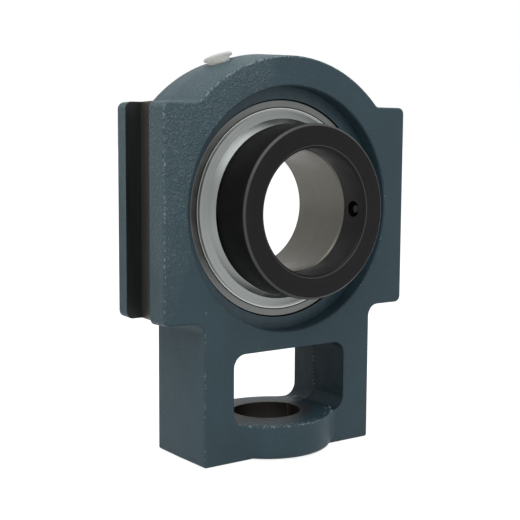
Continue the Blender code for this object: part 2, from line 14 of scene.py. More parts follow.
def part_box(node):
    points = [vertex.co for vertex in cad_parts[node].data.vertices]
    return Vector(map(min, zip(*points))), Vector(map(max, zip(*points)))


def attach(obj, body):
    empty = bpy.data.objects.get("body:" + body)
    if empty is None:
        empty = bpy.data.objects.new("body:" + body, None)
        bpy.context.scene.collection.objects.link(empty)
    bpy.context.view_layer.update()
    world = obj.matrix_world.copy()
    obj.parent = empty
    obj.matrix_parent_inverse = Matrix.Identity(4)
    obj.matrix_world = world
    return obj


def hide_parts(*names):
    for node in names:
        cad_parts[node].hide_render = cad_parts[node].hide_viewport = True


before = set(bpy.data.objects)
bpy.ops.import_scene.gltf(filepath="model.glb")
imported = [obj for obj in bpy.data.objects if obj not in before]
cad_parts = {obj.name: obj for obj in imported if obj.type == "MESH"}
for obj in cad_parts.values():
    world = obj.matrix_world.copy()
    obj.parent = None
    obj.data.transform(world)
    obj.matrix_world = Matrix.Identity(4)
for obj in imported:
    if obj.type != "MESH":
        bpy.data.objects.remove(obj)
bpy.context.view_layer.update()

LOG = logging.getLogger("bearing_unit")
MM = 0.001
# Vertices closer than this are one.
MERGE = 0.01 * MM
# A place this close to a surface counts as on it.
HAIR = 0.05 * MM
# A share of an edge's reach that no chip gets to.
OUT_OF_REACH = 20.0

Tree = bpy.types.NodeTree
Node = bpy.types.Node
Socket = bpy.types.NodeSocket
Material = bpy.types.Material
Piece = bpy.types.Object
Point = tuple[float, float]
Colour = tuple[float, float, float, float]


def linear(code: str) -> Colour:
    """Turn an sRGB hex colour into linear light.

    Args:
        code: Six hex digits after a hash sign.

    Returns:
        The linear red, green and blue with an alpha of 1.
    """
    channels = [int(code[i:i + 2], 16) / 255 for i in (1, 3, 5)]
    red, green, blue = (c / 12.92 if c <= 0.04045 else ((c + 0.055) / 1.055) ** 2.4 for c in channels)
    return red, green, blue, 1.0


def add_node(tree: Tree, kind: str, inputs: dict | None = None, **settings: object) -> Node:
    """Add a node with its settings, and set or link its inputs.

    Args:
        tree: The tree that gets the node.
        kind: The node's type name without its leading ShaderNode.
        inputs: Values, or sockets to link from, by input name or number.
        settings: The node's own properties by name.

    Returns:
        The new node.
    """
    node = tree.nodes.new("ShaderNode" + kind)
    for name, value in settings.items():
        setattr(node, name, value)
    for socket, value in (inputs or {}).items():
        if isinstance(value, Socket):
            tree.links.new(value, node.inputs[socket])
        else:
            node.inputs[socket].default_value = value
    return node


class Plane(Enum):
    """The plane of a sketch, as the directions of its two coordinates."""

    FRONT = (Vector((1, 0, 0)), Vector((0, 0, 1)))
    PLAN = (Vector((1, 0, 0)), Vector((0, 1, 0)))


class Operation(Enum):
    """How one shape is combined with another."""

    CUT = "DIFFERENCE"
    JOIN = "UNION"


class Coat(IntEnum):
    """The casting's finishes, in the order of its material slots."""

    PAINT = 0
    CUT = 1
    RECESS = 2
    SLOT_FLOOR = 3
    WINDOW = 4
    SCREW_HOLE = 5
    END_WALL = 6


class Sketch:
    """A flat closed line, drawn stretch by stretch, that becomes a face or a turned section."""

    def __init__(self, plane: Plane, start: Point) -> None:
        """Begin the line at a point of the plane."""
        self.across, self.along = plane.value
        self.shape = bmesh.new()
        self.first = self.shape.verts.new(self.spot(start))
        self.last = self.first

    def spot(self, point: Point) -> Vector:
        """Return a sketch point in space."""
        return self.across * point[0] + self.along * point[1]

    def flat(self, place: Vector) -> Vector:
        """Return a place in space as a sketch point."""
        return Vector((place.dot(self.across), place.dot(self.along)))

    def to(self, *points: Point) -> "Sketch":
        """Draw straight stretches through some points."""
        for point in points:
            grown = bmesh.ops.extrude_vert_indiv(self.shape, verts=[self.last])
            self.last = grown["verts"][0]
            self.last.co = self.spot(point)
        return self

    def sweep(self, centre: Point, angle: float, steps: int) -> "Sketch":
        """Draw an arc about a centre.

        Args:
            centre: The arc's centre.
            angle: The turn, positive from the first direction of the plane to the second.
            steps: The number of straight pieces.

        Returns:
            The sketch itself.
        """
        swung = bmesh.ops.spin(
            self.shape, geom=[self.last], cent=self.spot(centre), axis=self.across.cross(self.along),
            angle=angle, steps=steps,
        )
        self.last = next(item for item in swung["geom_last"] if isinstance(item, BMVert))
        return self

    def corner(self, point: Point, beyond: Point, radius: float, steps: int = 5) -> "Sketch":
        """Draw up to a corner and round it off towards the point beyond it.

        Args:
            point: The sharp corner.
            beyond: Any point on the stretch that follows.
            radius: The radius of the rounding.
            steps: The number of straight pieces in the rounding.

        Returns:
            The sketch itself.
        """
        tip = Vector(point)
        arriving = (tip - self.flat(self.last.co)).normalized()
        leaving = (Vector(beyond) - tip).normalized()
        turn = atan2(arriving.x * leaving.y - arriving.y * leaving.x, arriving.dot(leaving))
        start = tip - arriving * radius * tan(abs(turn) / 2)
        side = 1 if turn > 0 else -1
        centre = start + Vector((-arriving.y, arriving.x)) * radius * side
        return self.to(tuple(start)).sweep(tuple(centre), turn, steps)

    def wire(self) -> BMesh:
        """Close the line and return it as edges."""
        if (self.last.co - self.first.co).length > MERGE:
            self.shape.edges.new((self.last, self.first))
        bmesh.ops.remove_doubles(self.shape, verts=self.shape.verts[:], dist=MERGE / 10)
        return self.shape

    def half_section(self) -> BMesh:
        """Close the line and leave out the stretch on the shaft axis, ready to be turned."""
        section = self.wire()
        on_axis = [e for e in section.edges if all(abs(v.co.x) < MERGE for v in e.verts)]
        bmesh.ops.delete(section, geom=on_axis, context="EDGES")
        return section

    def face(self) -> BMesh:
        """Close the line and fill it with one face."""
        shape = self.wire()
        bmesh.ops.contextual_create(shape, geom=shape.edges[:])
        return shape


def rounded_polygon(plane: Plane, corners: Sequence[Point], radius: float, steps: int = 6) -> BMesh:
    """Fill a polygon whose corners all have the same rounding.

    Args:
        plane: The plane of the polygon.
        corners: Its sharp corners in order.
        radius: The rounding of each corner.
        steps: The straight pieces in each rounding.

    Returns:
        A shape with one face.
    """
    first, last = Vector(corners[0]), Vector(corners[-1])
    sketch = Sketch(plane, tuple((first + last) / 2))
    for index, corner in enumerate(corners):
        sketch.corner(corner, corners[(index + 1) % len(corners)], radius, steps)
    return sketch.face()


def verts_of(items: Sequence) -> list[BMVert]:
    """Return the vertices among the items that an operator made."""
    return [item for item in items if isinstance(item, BMVert)]


def raised(shape: BMesh, travel: Vector) -> BMesh:
    """Extrude the only face of a shape into a closed block.

    Args:
        shape: A shape with one face.
        travel: How far and which way the face travels.

    Returns:
        The same shape as a block.
    """
    grown = bmesh.ops.extrude_face_region(shape, geom=shape.faces[:])
    bmesh.ops.translate(shape, verts=verts_of(grown["geom"]), vec=travel)
    bmesh.ops.recalc_face_normals(shape, faces=shape.faces[:])
    return shape


def lofted(rims: Sequence[BMesh]) -> BMesh:
    """Join closed lines of equal counts, front to rear, into one closed block.

    Args:
        rims: The lines as shapes with one face each, which are used up.

    Returns:
        The closed block.
    """
    loft = bmesh.new()
    loops = []
    for rim in rims:
        mesh = bpy.data.meshes.new("rim")
        bmesh.ops.delete(rim, geom=rim.faces[:], context="FACES_ONLY")
        rim.to_mesh(mesh)
        rim.free()
        before = len(loft.edges)
        loft.from_mesh(mesh)
        bpy.data.meshes.remove(mesh)
        loops.append(loft.edges[:][before:])
    for front, rear in zip(loops, loops[1:]):
        bmesh.ops.bridge_loops(loft, edges=front + rear)
    for end in (loops[0], loops[-1]):
        bmesh.ops.contextual_create(loft, geom=end)
    bmesh.ops.recalc_face_normals(loft, faces=loft.faces[:])
    return loft


def moved(shape: BMesh, offset: Vector) -> BMesh:
    """Move a whole shape."""
    bmesh.ops.translate(shape, verts=shape.verts[:], vec=offset)
    return shape


def turned_about(shape: BMesh, angle: float, axis: str) -> BMesh:
    """Rotate a whole shape about an axis through the origin."""
    bmesh.ops.rotate(shape, verts=shape.verts[:], cent=(0, 0, 0), matrix=Matrix.Rotation(angle, 3, axis))
    return shape


def turned(section: BMesh, steps: int) -> BMesh:
    """Turn a section all the way round the shaft axis.

    Args:
        section: Edges in plan, with the radius along X and the shaft along Y.
        steps: The number of facets round the axis.

    Returns:
        The closed turned shape, faces outwards.
    """
    bmesh.ops.spin(
        section, geom=section.verts[:] + section.edges[:], cent=(0, 0, 0), axis=(0, 1, 0),
        angle=2 * pi, steps=steps, use_merge=True,
    )
    bmesh.ops.remove_doubles(section, verts=section.verts[:], dist=MERGE / 10)
    bmesh.ops.recalc_face_normals(section, faces=section.faces[:])
    return section


def pushed(shape: BMesh, run: float) -> list[BMVert]:
    """Extrude the rear end of a block further back.

    Args:
        shape: A block whose rear end is one flat face.
        run: How far the end travels along Y.

    Returns:
        The corners of the new end.
    """
    shape.normal_update()
    rear = [face for face in shape.faces if face.normal.y > 0.9]
    grown = bmesh.ops.extrude_face_region(shape, geom=rear)
    bmesh.ops.delete(shape, geom=rear, context="FACES_ONLY")
    ends = verts_of(grown["geom"])
    bmesh.ops.translate(shape, verts=ends, vec=(0, run, 0))
    return ends


def rod(radius: float, length: float, segments: int) -> BMesh:
    """Return a closed rod along Z, centred on the origin."""
    shape = bmesh.new()
    bmesh.ops.create_cone(
        shape, cap_ends=True, segments=segments, radius1=radius, radius2=radius, depth=length,
    )
    return shape


def block(low: Vector, high: Vector) -> BMesh:
    """Return a closed block between two corners."""
    shape = bmesh.new()
    bmesh.ops.create_cube(shape, size=1.0)
    bmesh.ops.scale(shape, verts=shape.verts[:], vec=high - low)
    return moved(shape, (high + low) / 2)


def soften(
    shape: BMesh, radius: float, segments: int, where: Callable[[BMEdge], bool] = lambda edge: True,
    sharper: float = radians(28),
) -> BMesh:
    """Round off the sharp edges of a shape.

    Args:
        shape: The shape.
        radius: How far the rounding reaches to each side of an edge.
        segments: The facets across each rounding.
        where: Says which of the sharp edges are rounded.
        sharper: The smallest angle between faces that counts as sharp.

    Returns:
        The same shape.
    """
    edges = [
        edge for edge in shape.edges
        if len(edge.link_faces) == 2 and edge.calc_face_angle(0.0) > sharper and where(edge)
    ]
    bmesh.ops.bevel(
        shape, geom=edges, offset=radius, offset_type="OFFSET", affect="EDGES", segments=segments,
        profile=0.5, material=-1, clamp_overlap=True,
    )
    return shape


def combine(body: BMesh, tools: Sequence[BMesh], operation: Operation) -> BMesh:
    """Combine a shape with others by exact Booleans.

    Args:
        body: The shape to change, which is used up.
        tools: The other shapes, which are used up.
        operation: Whether the others are cut out or joined on.

    Returns:
        The new shape, with its flat faces whole.
    """
    rough = []
    for shape in (body, *tools):
        bmesh.ops.recalc_face_normals(shape, faces=shape.faces[:])
        mesh = bpy.data.meshes.new("rough")
        shape.to_mesh(mesh)
        shape.free()
        rough.append(bpy.data.objects.new("rough", mesh))
        bpy.context.scene.collection.objects.link(rough[-1])
    base = rough[0]
    for tool in rough[1:]:
        boolean = base.modifiers.new("combine", "BOOLEAN")
        boolean.operation = operation.value
        boolean.solver = "EXACT"
        boolean.object = tool
    evaluated = base.evaluated_get(bpy.context.evaluated_depsgraph_get())
    result = bmesh.new()
    result.from_mesh(evaluated.to_mesh())
    evaluated.to_mesh_clear()
    for part in rough:
        mesh = part.data
        bpy.data.objects.remove(part, do_unlink=True)
        bpy.data.meshes.remove(mesh)
    bmesh.ops.remove_doubles(result, verts=result.verts[:], dist=MERGE)
    bmesh.ops.dissolve_limit(
        result, angle_limit=radians(0.4), verts=result.verts[:], edges=result.edges[:],
        use_dissolve_boundaries=False,
    )
    return result


class Finish:
    """A surface finish that becomes one procedural material."""

    name: str

    def make(self) -> Material:
        """Build the material, or return it where it is already built."""
        known = bpy.data.materials.get(self.name)
        if known:
            return known
        material = bpy.data.materials.new(self.name)
        material.use_nodes = True
        tree = material.node_tree
        tree.nodes.clear()
        shader = add_node(tree, "BsdfPrincipled")
        add_node(tree, "OutputMaterial", {"Surface": shader.outputs["BSDF"]})
        place = add_node(tree, "TexCoord").outputs["Object"]
        self.dress(tree, shader, place)
        return material

    def dress(self, tree: Tree, shader: Node, place: Socket) -> None:
        """Add the nodes of this finish.

        Args:
            tree: The material's tree.
            shader: Its Principled shader.
            place: The object coordinates in metres.
        """
        raise NotImplementedError


@dataclass(frozen=True)
class EdgeMark:
    """An edge along which a mark is drawn, chipped paint on the casting and a painted highlight on a metal ring's
    edge: a straight line along Z, or a circle about an axis through a centre.

    Attributes:
        centre: A point on the line, or the circle's centre.
        radius: The circle's radius, or 0 for a line.
        axis: The line's direction, or the circle's axis.
        reach: How far from the edge the chips go.
        wear: How much of the edge is marked, by chips or by a painted highlight: 0 hardly, 1 freely, more for nearly
            all of it.
        above: The height over the centre where the worn part starts, or None for the whole edge.
    """

    centre: Vector
    radius: float
    axis: str
    reach: float
    wear: float = 1.0
    above: float | None = None

    def distance(self, tree: Tree, place: Socket) -> Socket:
        """Add the nodes that measure the distance from the edge.

        Args:
            tree: The material's tree.
            place: The object coordinates.

        Returns:
            The distance as a share of the reach.
        """
        local = add_node(tree, "VectorMath", {0: place, 1: self.centre}, operation="SUBTRACT")
        axis = Vector([float(letter == self.axis) for letter in "XYZ"])
        across = add_node(
            tree, "VectorMath", {0: local.outputs[0], 1: Vector((1, 1, 1)) - axis}, operation="MULTIPLY",
        )
        spread = add_node(tree, "VectorMath", {0: across.outputs[0]}, operation="LENGTH")
        length = spread
        if self.radius:
            off = add_node(tree, "Math", {0: spread.outputs["Value"], 1: self.radius}, operation="SUBTRACT")
            rise = add_node(tree, "VectorMath", {0: local.outputs[0], 1: axis}, operation="DOT_PRODUCT")
            pair = add_node(tree, "CombineXYZ", {0: off.outputs[0], 1: rise.outputs["Value"]})
            length = add_node(tree, "VectorMath", {0: pair.outputs[0]}, operation="LENGTH")
        share = add_node(
            tree, "Math", {0: length.outputs["Value"], 1: 1 / self.reach, 2: 1 - self.wear},
            operation="MULTIPLY_ADD",
        ).outputs[0]
        if self.above is None:
            return share
        height = add_node(tree, "SeparateXYZ", {0: local.outputs[0]})
        below = add_node(tree, "Math", {0: height.outputs[2], 1: self.above}, operation="LESS_THAN")
        return add_node(
            tree, "Math", {0: below.outputs[0], 1: OUT_OF_REACH, 2: share}, operation="MULTIPLY_ADD",
        ).outputs[0]


@dataclass(frozen=True)
class AlkydPaintOnCastIron(Finish):
    """Alkyd enamel sprayed over a sand casting.

    The sand's grain shows through the thin coat as a fine pebbled sheen, pits stay dark,
    and knocks have chipped the edges back to light primer. Towards the upper left of the front
    the paint is also painted lighter, as painted light falling from there.
    """

    name: str = "alkyd_enamel_on_sand_cast_iron"
    paint: str = "#40525A"
    paint_light: str = "#4A5F67"
    # The thin colour is mixed in towards the upper left of the front: partly paint rubbed thin on the sand, partly
    # painted light.
    thin: str = "#596E75"
    chip: str = "#9BA8AA"
    speck: str = "#87959A"
    stain: str = "#433D38"
    grain: float = 1.1 * MM
    cloud: float = 28 * MM
    patch: float = 16 * MM
    pit: float = 5.5 * MM
    wave: float = 14 * MM
    blot: float = 7 * MM
    flake: float = 1.3 * MM
    grain_height: float = 1.5 * MM
    wave_height: float = 0.8 * MM
    joint_height: float = 0.12 * MM
    joint_reach: float = 0.6 * MM
    patchiness: float = 50 * MM
    stain_reach: float = 13 * MM
    sand_and_painted_light_way: Vector = Vector((-0.75, -0.7, 0.45))
    rough_from: float = 42 * MM
    rough_to: float = 72 * MM
    seam_depth: float = 0.0
    gloss: float = 0.12
    chip_and_highlight_edges: tuple[EdgeMark, ...] = ()
    stain_centre: Vector = Vector((0, 0, 0))
    stain_radius: float = 17.5 * MM

    def dress(self, tree: Tree, shader: Node, place: Socket) -> None:
        """Add cloudy paint, chips, a stain round the screw hole, and the sand's grain."""
        clouds = add_node(tree, "TexNoise", {"Vector": place, "Scale": 1 / self.cloud, "Detail": 4.0})
        cloudy = add_node(
            tree, "Mix",
            {"Factor": clouds.outputs[0], "A": linear(self.paint), "B": linear(self.paint_light)},
            data_type="RGBA",
        )
        fine = add_node(
            tree, "TexNoise", {"Vector": place, "Scale": 1 / self.grain, "Detail": 2.0, "Roughness": 0.55},
        )
        sand_and_painted_light = self.sandiness_and_painted_light(tree, place)
        colour = self.speckled(tree, cloudy.outputs["Result"], fine.outputs[0], sand_and_painted_light)
        colour = self.stained(tree, colour, place)
        colour = self.chipped(tree, colour, sand_and_painted_light, place)
        tree.links.new(colour, shader.inputs["Base Color"])
        sheen = add_node(
            tree, "MapRange",
            {"Value": fine.outputs[0], "From Min": 0.3, "From Max": 0.7, "To Min": 0.38, "To Max": 0.58},
        )
        tree.links.new(sheen.outputs[0], shader.inputs["Roughness"])
        tree.links.new(self.relief(tree, fine.outputs[0], sand_and_painted_light, place), shader.inputs["Normal"])
        shader.inputs["Specular IOR Level"].default_value = self.gloss

    def sandiness_and_painted_light(self, tree: Tree, place: Socket) -> Socket:
        """Say how sandy the surface is, most at the upper left of the front where the mould was loose, and how much
        lighter the paint is painted there as painted light.

        Args:
            tree: The material's tree.
            place: The object coordinates.

        Returns:
            The sandiness and the share of painted light, from 0.12 to 1.
        """
        across = add_node(tree, "VectorMath", {0: place, 1: self.sand_and_painted_light_way}, operation="DOT_PRODUCT")
        start = self.sand_and_painted_light_way.dot(self.stain_centre + Vector((0, 0, 104 * MM)))
        patches = add_node(tree, "TexNoise", {"Vector": place, "Scale": 1 / self.patch, "Detail": 2.0})
        blend = add_node(
            tree, "Math", {0: patches.outputs[0], 1: self.patchiness, 2: across.outputs["Value"]},
            operation="MULTIPLY_ADD",
        )
        middle = start + self.patchiness / 2
        return add_node(
            tree, "MapRange",
            {
                "Value": blend.outputs[0], "From Min": middle + self.rough_from,
                "From Max": middle + self.rough_to, "To Min": 0.12, "To Max": 1.0,
            },
        ).outputs[0]

    def speckled(self, tree: Tree, colour: Socket, fine: Socket, sand_and_painted_light: Socket) -> Socket:
        """Lighten the paint towards the upper left as painted light, and rub it thin to light specks on the highest
        grains of sand.

        Args:
            tree: The material's tree.
            colour: The paint's colour.
            fine: The grain.
            sand_and_painted_light: The sandiness.

        Returns:
            The colour with its light specks.
        """
        # Mixing in the lighter thin colour by the sandiness paints light onto the upper left, as well as showing
        # thin paint.
        thin = add_node(
            tree, "Mix", {"Factor": sand_and_painted_light, "A": colour, "B": linear(self.thin)}, data_type="RGBA",
        )
        high = add_node(
            tree, "MapRange",
            {"Value": fine, "From Min": 0.56, "From Max": 0.68, "To Min": 0.0, "To Max": 0.6},
        )
        share = add_node(tree, "Math", {0: high.outputs[0], 1: sand_and_painted_light}, operation="MULTIPLY")
        return add_node(
            tree, "Mix", {"Factor": share.outputs[0], "A": thin.outputs["Result"], "B": linear(self.speck)},
            data_type="RGBA",
        ).outputs["Result"]

    def relief(self, tree: Tree, fine: Socket, sand_and_painted_light: Socket, place: Socket) -> Socket:
        """Raise the sand's grain, sink a few pits, and raise the mould's joint.

        Args:
            tree: The material's tree.
            fine: The grain.
            sand_and_painted_light: The sandiness.
            place: The object coordinates.

        Returns:
            The bent surface direction.
        """
        pits = add_node(tree, "TexVoronoi", {"Vector": place, "Scale": 1 / self.pit})
        hollow = add_node(
            tree, "MapRange",
            {
                "Value": pits.outputs["Distance"], "From Min": 0.0, "From Max": 0.16, "To Min": -0.5,
                "To Max": 0.0,
            },
        )
        sandy = add_node(tree, "Math", {0: fine, 1: hollow.outputs[0]}, operation="ADD")
        height = add_node(tree, "Math", {0: sandy.outputs[0], 1: sand_and_painted_light}, operation="MULTIPLY")
        grain = add_node(
            tree, "Bump", {"Height": height.outputs[0], "Strength": 1.0, "Distance": self.grain_height},
        )
        waves = add_node(tree, "TexNoise", {"Vector": place, "Scale": 1 / self.wave, "Detail": 1.0})
        uneven = add_node(
            tree, "Bump",
            {
                "Height": waves.outputs[0], "Strength": 0.5, "Distance": self.wave_height,
                "Normal": grain.outputs[0],
            },
        )
        apart = add_node(tree, "SeparateXYZ", {0: place})
        depth = add_node(
            tree, "Math", {0: waves.outputs[0], 1: self.wave_height, 2: apart.outputs[1]},
            operation="MULTIPLY_ADD",
        )
        off = add_node(
            tree, "Math",
            {0: depth.outputs[0], 1: self.seam_depth + self.wave_height / 2, 2: self.joint_reach},
            operation="COMPARE",
        )
        joint = add_node(
            tree, "Bump",
            {
                "Height": off.outputs[0], "Strength": 0.5, "Distance": self.joint_height,
                "Normal": uneven.outputs[0],
            },
        )
        return joint.outputs[0]

    def stained(self, tree: Tree, colour: Socket, place: Socket) -> Socket:
        """Brown the paint round the adjusting-screw hole, where the screw's grease has run.

        Args:
            tree: The material's tree.
            colour: The paint's colour.
            place: The object coordinates.

        Returns:
            The colour with the stain.
        """
        edge = EdgeMark(self.stain_centre, self.stain_radius, "Z", self.stain_reach).distance(tree, place)
        blot = add_node(tree, "TexNoise", {"Vector": place, "Scale": 1 / self.blot, "Detail": 3.0})
        spread = add_node(tree, "Math", {0: edge, 1: blot.outputs[0]}, operation="ADD")
        share = add_node(
            tree, "MapRange",
            {"Value": spread.outputs[0], "From Min": 0.7, "From Max": 1.3, "To Min": 0.75, "To Max": 0.0},
        )
        return add_node(
            tree, "Mix", {"Factor": share.outputs[0], "A": colour, "B": linear(self.stain)}, data_type="RGBA",
        ).outputs["Result"]

    def chipped(self, tree: Tree, colour: Socket, sand_and_painted_light: Socket, place: Socket) -> Socket:
        """Chip the paint along the listed edges, most where the casting is sandy.

        Args:
            tree: The material's tree.
            colour: The paint's colour.
            sand_and_painted_light: The sandiness.
            place: The object coordinates.

        Returns:
            The colour with the chips.
        """
        nearest = None
        for edge in self.chip_and_highlight_edges:
            measured = edge.distance(tree, place)
            if nearest is not None:
                measured = add_node(tree, "Math", {0: nearest, 1: measured}, operation="MINIMUM").outputs[0]
            nearest = measured
        if nearest is None:
            return colour
        flakes = add_node(
            tree, "TexNoise", {"Vector": place, "Scale": 1 / self.flake, "Detail": 3.0, "Roughness": 0.65},
        )
        margin = add_node(
            tree, "MapRange",
            {"Value": nearest, "From Min": 0.0, "From Max": 1.0, "To Min": 0.05, "To Max": 0.2},
            clamp=False,
        )
        held = add_node(tree, "Math", {0: sand_and_painted_light, 1: -0.08, 2: margin.outputs[0]}, operation="MULTIPLY_ADD")
        level = add_node(tree, "Math", {0: flakes.outputs[0], 1: held.outputs[0]}, operation="SUBTRACT")
        share = add_node(
            tree, "MapRange",
            {"Value": level.outputs[0], "From Min": 0.52, "From Max": 0.58, "To Min": 0.0, "To Max": 0.7},
        )
        return add_node(
            tree, "Mix", {"Factor": share.outputs[0], "A": colour, "B": linear(self.chip)}, data_type="RGBA",
        ).outputs["Result"]


@dataclass(frozen=True)
class MachinedIron(Finish):
    """Grey cast iron as milled and bored, with a film of old oil: dull, dark, softly lined."""

    name: str = "milled_grey_iron"
    iron: str = "#434749"
    oil: str = "#343738"
    metallic: float = 0.75
    roughness: float = 0.42
    streak: float = 5 * MM
    mark: float = 0.9 * MM
    mark_height: float = 0.08 * MM

    def dress(self, tree: Tree, shader: Node, place: Socket) -> None:
        """Add streaks of oil along the cut and fine tool marks."""
        run = add_node(tree, "Mapping", {"Vector": place, "Scale": (1, 1, 0.12)})
        blots = add_node(
            tree, "TexNoise",
            {"Vector": run.outputs[0], "Scale": 1 / self.streak, "Detail": 3.0, "Roughness": 0.6},
        )
        share = add_node(
            tree, "MapRange", {"Value": blots.outputs[0], "From Min": 0.25, "From Max": 0.75},
        )
        colour = add_node(
            tree, "Mix", {"Factor": share.outputs[0], "A": linear(self.iron), "B": linear(self.oil)},
            data_type="RGBA",
        )
        tree.links.new(colour.outputs["Result"], shader.inputs["Base Color"])
        shader.inputs["Metallic"].default_value = self.metallic
        shader.inputs["Roughness"].default_value = self.roughness
        # Feed marks 0.3 mm apart are too fine for the picture, so they are drawn 0.9 mm apart.
        marks = add_node(tree, "TexNoise", {"Vector": place, "Scale": 1 / self.mark, "Detail": 2.0})
        bump = add_node(
            tree, "Bump", {"Height": marks.outputs[0], "Strength": 0.35, "Distance": self.mark_height},
        )
        tree.links.new(bump.outputs[0], shader.inputs["Normal"])


@dataclass(frozen=True)
class TurnedMetal(Finish):
    """Metal with rings of fine marks round the shaft axis, as turning or grinding leaves them, and painted
    highlights along some edges.
    """

    name: str
    centre: Vector
    metal: str
    metal_dark: str
    metallic: float
    roughness: float
    spacing: float
    depth: float
    # Edges that get a painted highlight, a band of lighter colour.
    chip_and_highlight_edges: tuple[EdgeMark, ...] = ()
    painted_highlight: str = "#B9B9B4"
    gloss: float = 0.5
    cloud: float = 9 * MM

    def dress(self, tree: Tree, shader: Node, place: Socket) -> None:
        """Add rings that follow the radius and the depth, faint cloudiness, and painted highlights along the listed
        edges.
        """
        local = add_node(tree, "VectorMath", {0: place, 1: self.centre}, operation="SUBTRACT")
        flat = add_node(
            tree, "VectorMath", {0: local.outputs[0], 1: Vector((1, 0, 1))}, operation="MULTIPLY",
        )
        radius = add_node(tree, "VectorMath", {0: flat.outputs[0]}, operation="LENGTH")
        depth = add_node(tree, "SeparateXYZ", {0: local.outputs[0]})
        rings = add_node(tree, "CombineXYZ", {0: radius.outputs["Value"], 1: depth.outputs[1]})
        marks = add_node(
            tree, "TexNoise", {"Vector": rings.outputs[0], "Scale": 1 / self.spacing, "Detail": 3.0},
        )
        clouds = add_node(tree, "TexNoise", {"Vector": place, "Scale": 1 / self.cloud, "Detail": 3.0})
        blend = add_node(tree, "Math", {0: marks.outputs[0], 1: clouds.outputs[0]}, operation="MULTIPLY")
        share = add_node(
            tree, "MapRange", {"Value": blend.outputs[0], "From Min": 0.15, "From Max": 0.38},
        )
        colour = add_node(
            tree, "Mix", {"Factor": share.outputs[0], "A": linear(self.metal_dark), "B": linear(self.metal)},
            data_type="RGBA",
        ).outputs["Result"]
        # Each listed edge gets a painted highlight: near it the colour is mixed towards the lighter one.
        for edge in self.chip_and_highlight_edges:
            near = add_node(
                tree, "MapRange",
                {
                    "Value": edge.distance(tree, place), "From Min": 0.35, "From Max": 1.0, "To Min": 0.8,
                    "To Max": 0.0,
                },
            )
            colour = add_node(
                tree, "Mix", {"Factor": near.outputs[0], "A": colour, "B": linear(self.painted_highlight)},
                data_type="RGBA",
            ).outputs["Result"]
        tree.links.new(colour, shader.inputs["Base Color"])
        rough = add_node(
            tree, "MapRange",
            {
                "Value": clouds.outputs[0], "From Min": 0.3, "From Max": 0.7,
                "To Min": self.roughness * 0.85, "To Max": self.roughness * 1.2,
            },
        )
        tree.links.new(rough.outputs[0], shader.inputs["Roughness"])
        shader.inputs["Metallic"].default_value = self.metallic
        shader.inputs["Specular IOR Level"].default_value = self.gloss
        bump = add_node(
            tree, "Bump", {"Height": marks.outputs[0], "Strength": 0.3, "Distance": self.depth},
        )
        tree.links.new(bump.outputs[0], shader.inputs["Normal"])


@dataclass(frozen=True)
class MouldedPlastic(Finish):
    """Injection-moulded plastic: even colour, a soft satin skin and a faint flow pattern."""

    name: str
    colour: str
    colour_dark: str
    roughness: float
    skin: float = 1.1 * MM
    skin_height: float = 0.05 * MM
    subsurface: float = 0.0
    bleed: float = 1.0 * MM
    flow: float = 4 * MM

    def dress(self, tree: Tree, shader: Node, place: Socket) -> None:
        """Add the flow pattern and the skin."""
        flow = add_node(
            tree, "TexNoise", {"Vector": place, "Scale": 1 / self.flow, "Detail": 3.0, "Distortion": 0.6},
        )
        colour = add_node(
            tree, "Mix", {"Factor": flow.outputs[0], "A": linear(self.colour_dark), "B": linear(self.colour)},
            data_type="RGBA",
        )
        tree.links.new(colour.outputs["Result"], shader.inputs["Base Color"])
        shader.inputs["Roughness"].default_value = self.roughness
        shader.inputs["Subsurface Weight"].default_value = self.subsurface
        shader.inputs["Subsurface Scale"].default_value = self.bleed
        shader.inputs["Subsurface Radius"].default_value = (1.0, 1.0, 0.9)
        skin = add_node(tree, "TexNoise", {"Vector": place, "Scale": 1 / self.skin, "Detail": 2.0})
        bump = add_node(
            tree, "Bump", {"Height": skin.outputs[0], "Strength": 0.2, "Distance": self.skin_height},
        )
        tree.links.new(bump.outputs[0], shader.inputs["Normal"])


def finished(
    name: str, shape: BMesh, finishes: Sequence[Finish], body: str, replaces: Sequence[str],
    choose: Callable[[BMFace], int] | None = None,
) -> Piece:
    """Turn a shape into a piece that rides on a body and stands for CAD nodes.

    Args:
        name: The piece's name.
        shape: The shape in the row frame, which is used up.
        finishes: Its finishes, the main one first.
        body: The body that carries it.
        replaces: The CAD nodes that it stands for.
        choose: Gives the number of a face's finish, where there is more than one.

    Returns:
        The piece's object at the origin.
    """
    bmesh.ops.recalc_face_normals(shape, faces=shape.faces[:])
    if choose:
        for face in shape.faces:
            face.material_index = choose(face)
    mesh = bpy.data.meshes.new(name)
    shape.to_mesh(mesh)
    shape.free()
    mesh.shade_smooth()
    mesh.set_sharp_from_angle(angle=radians(30))
    for finish in finishes:
        mesh.materials.append(finish.make())
    piece = bpy.data.objects.new(name, mesh)
    bpy.context.scene.collection.objects.link(piece)
    # Large flat faces keep flat shading beside their small roundings.
    weighted = piece.modifiers.new("flat_faces_stay_flat", "WEIGHTED_NORMAL")
    weighted.keep_sharp = True
    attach(piece, body)
    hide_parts(*replaces)
    mesh.calc_loop_triangles()
    LOG.info("%s: %d triangles on %s", name, len(mesh.loop_triangles), body)
    return piece


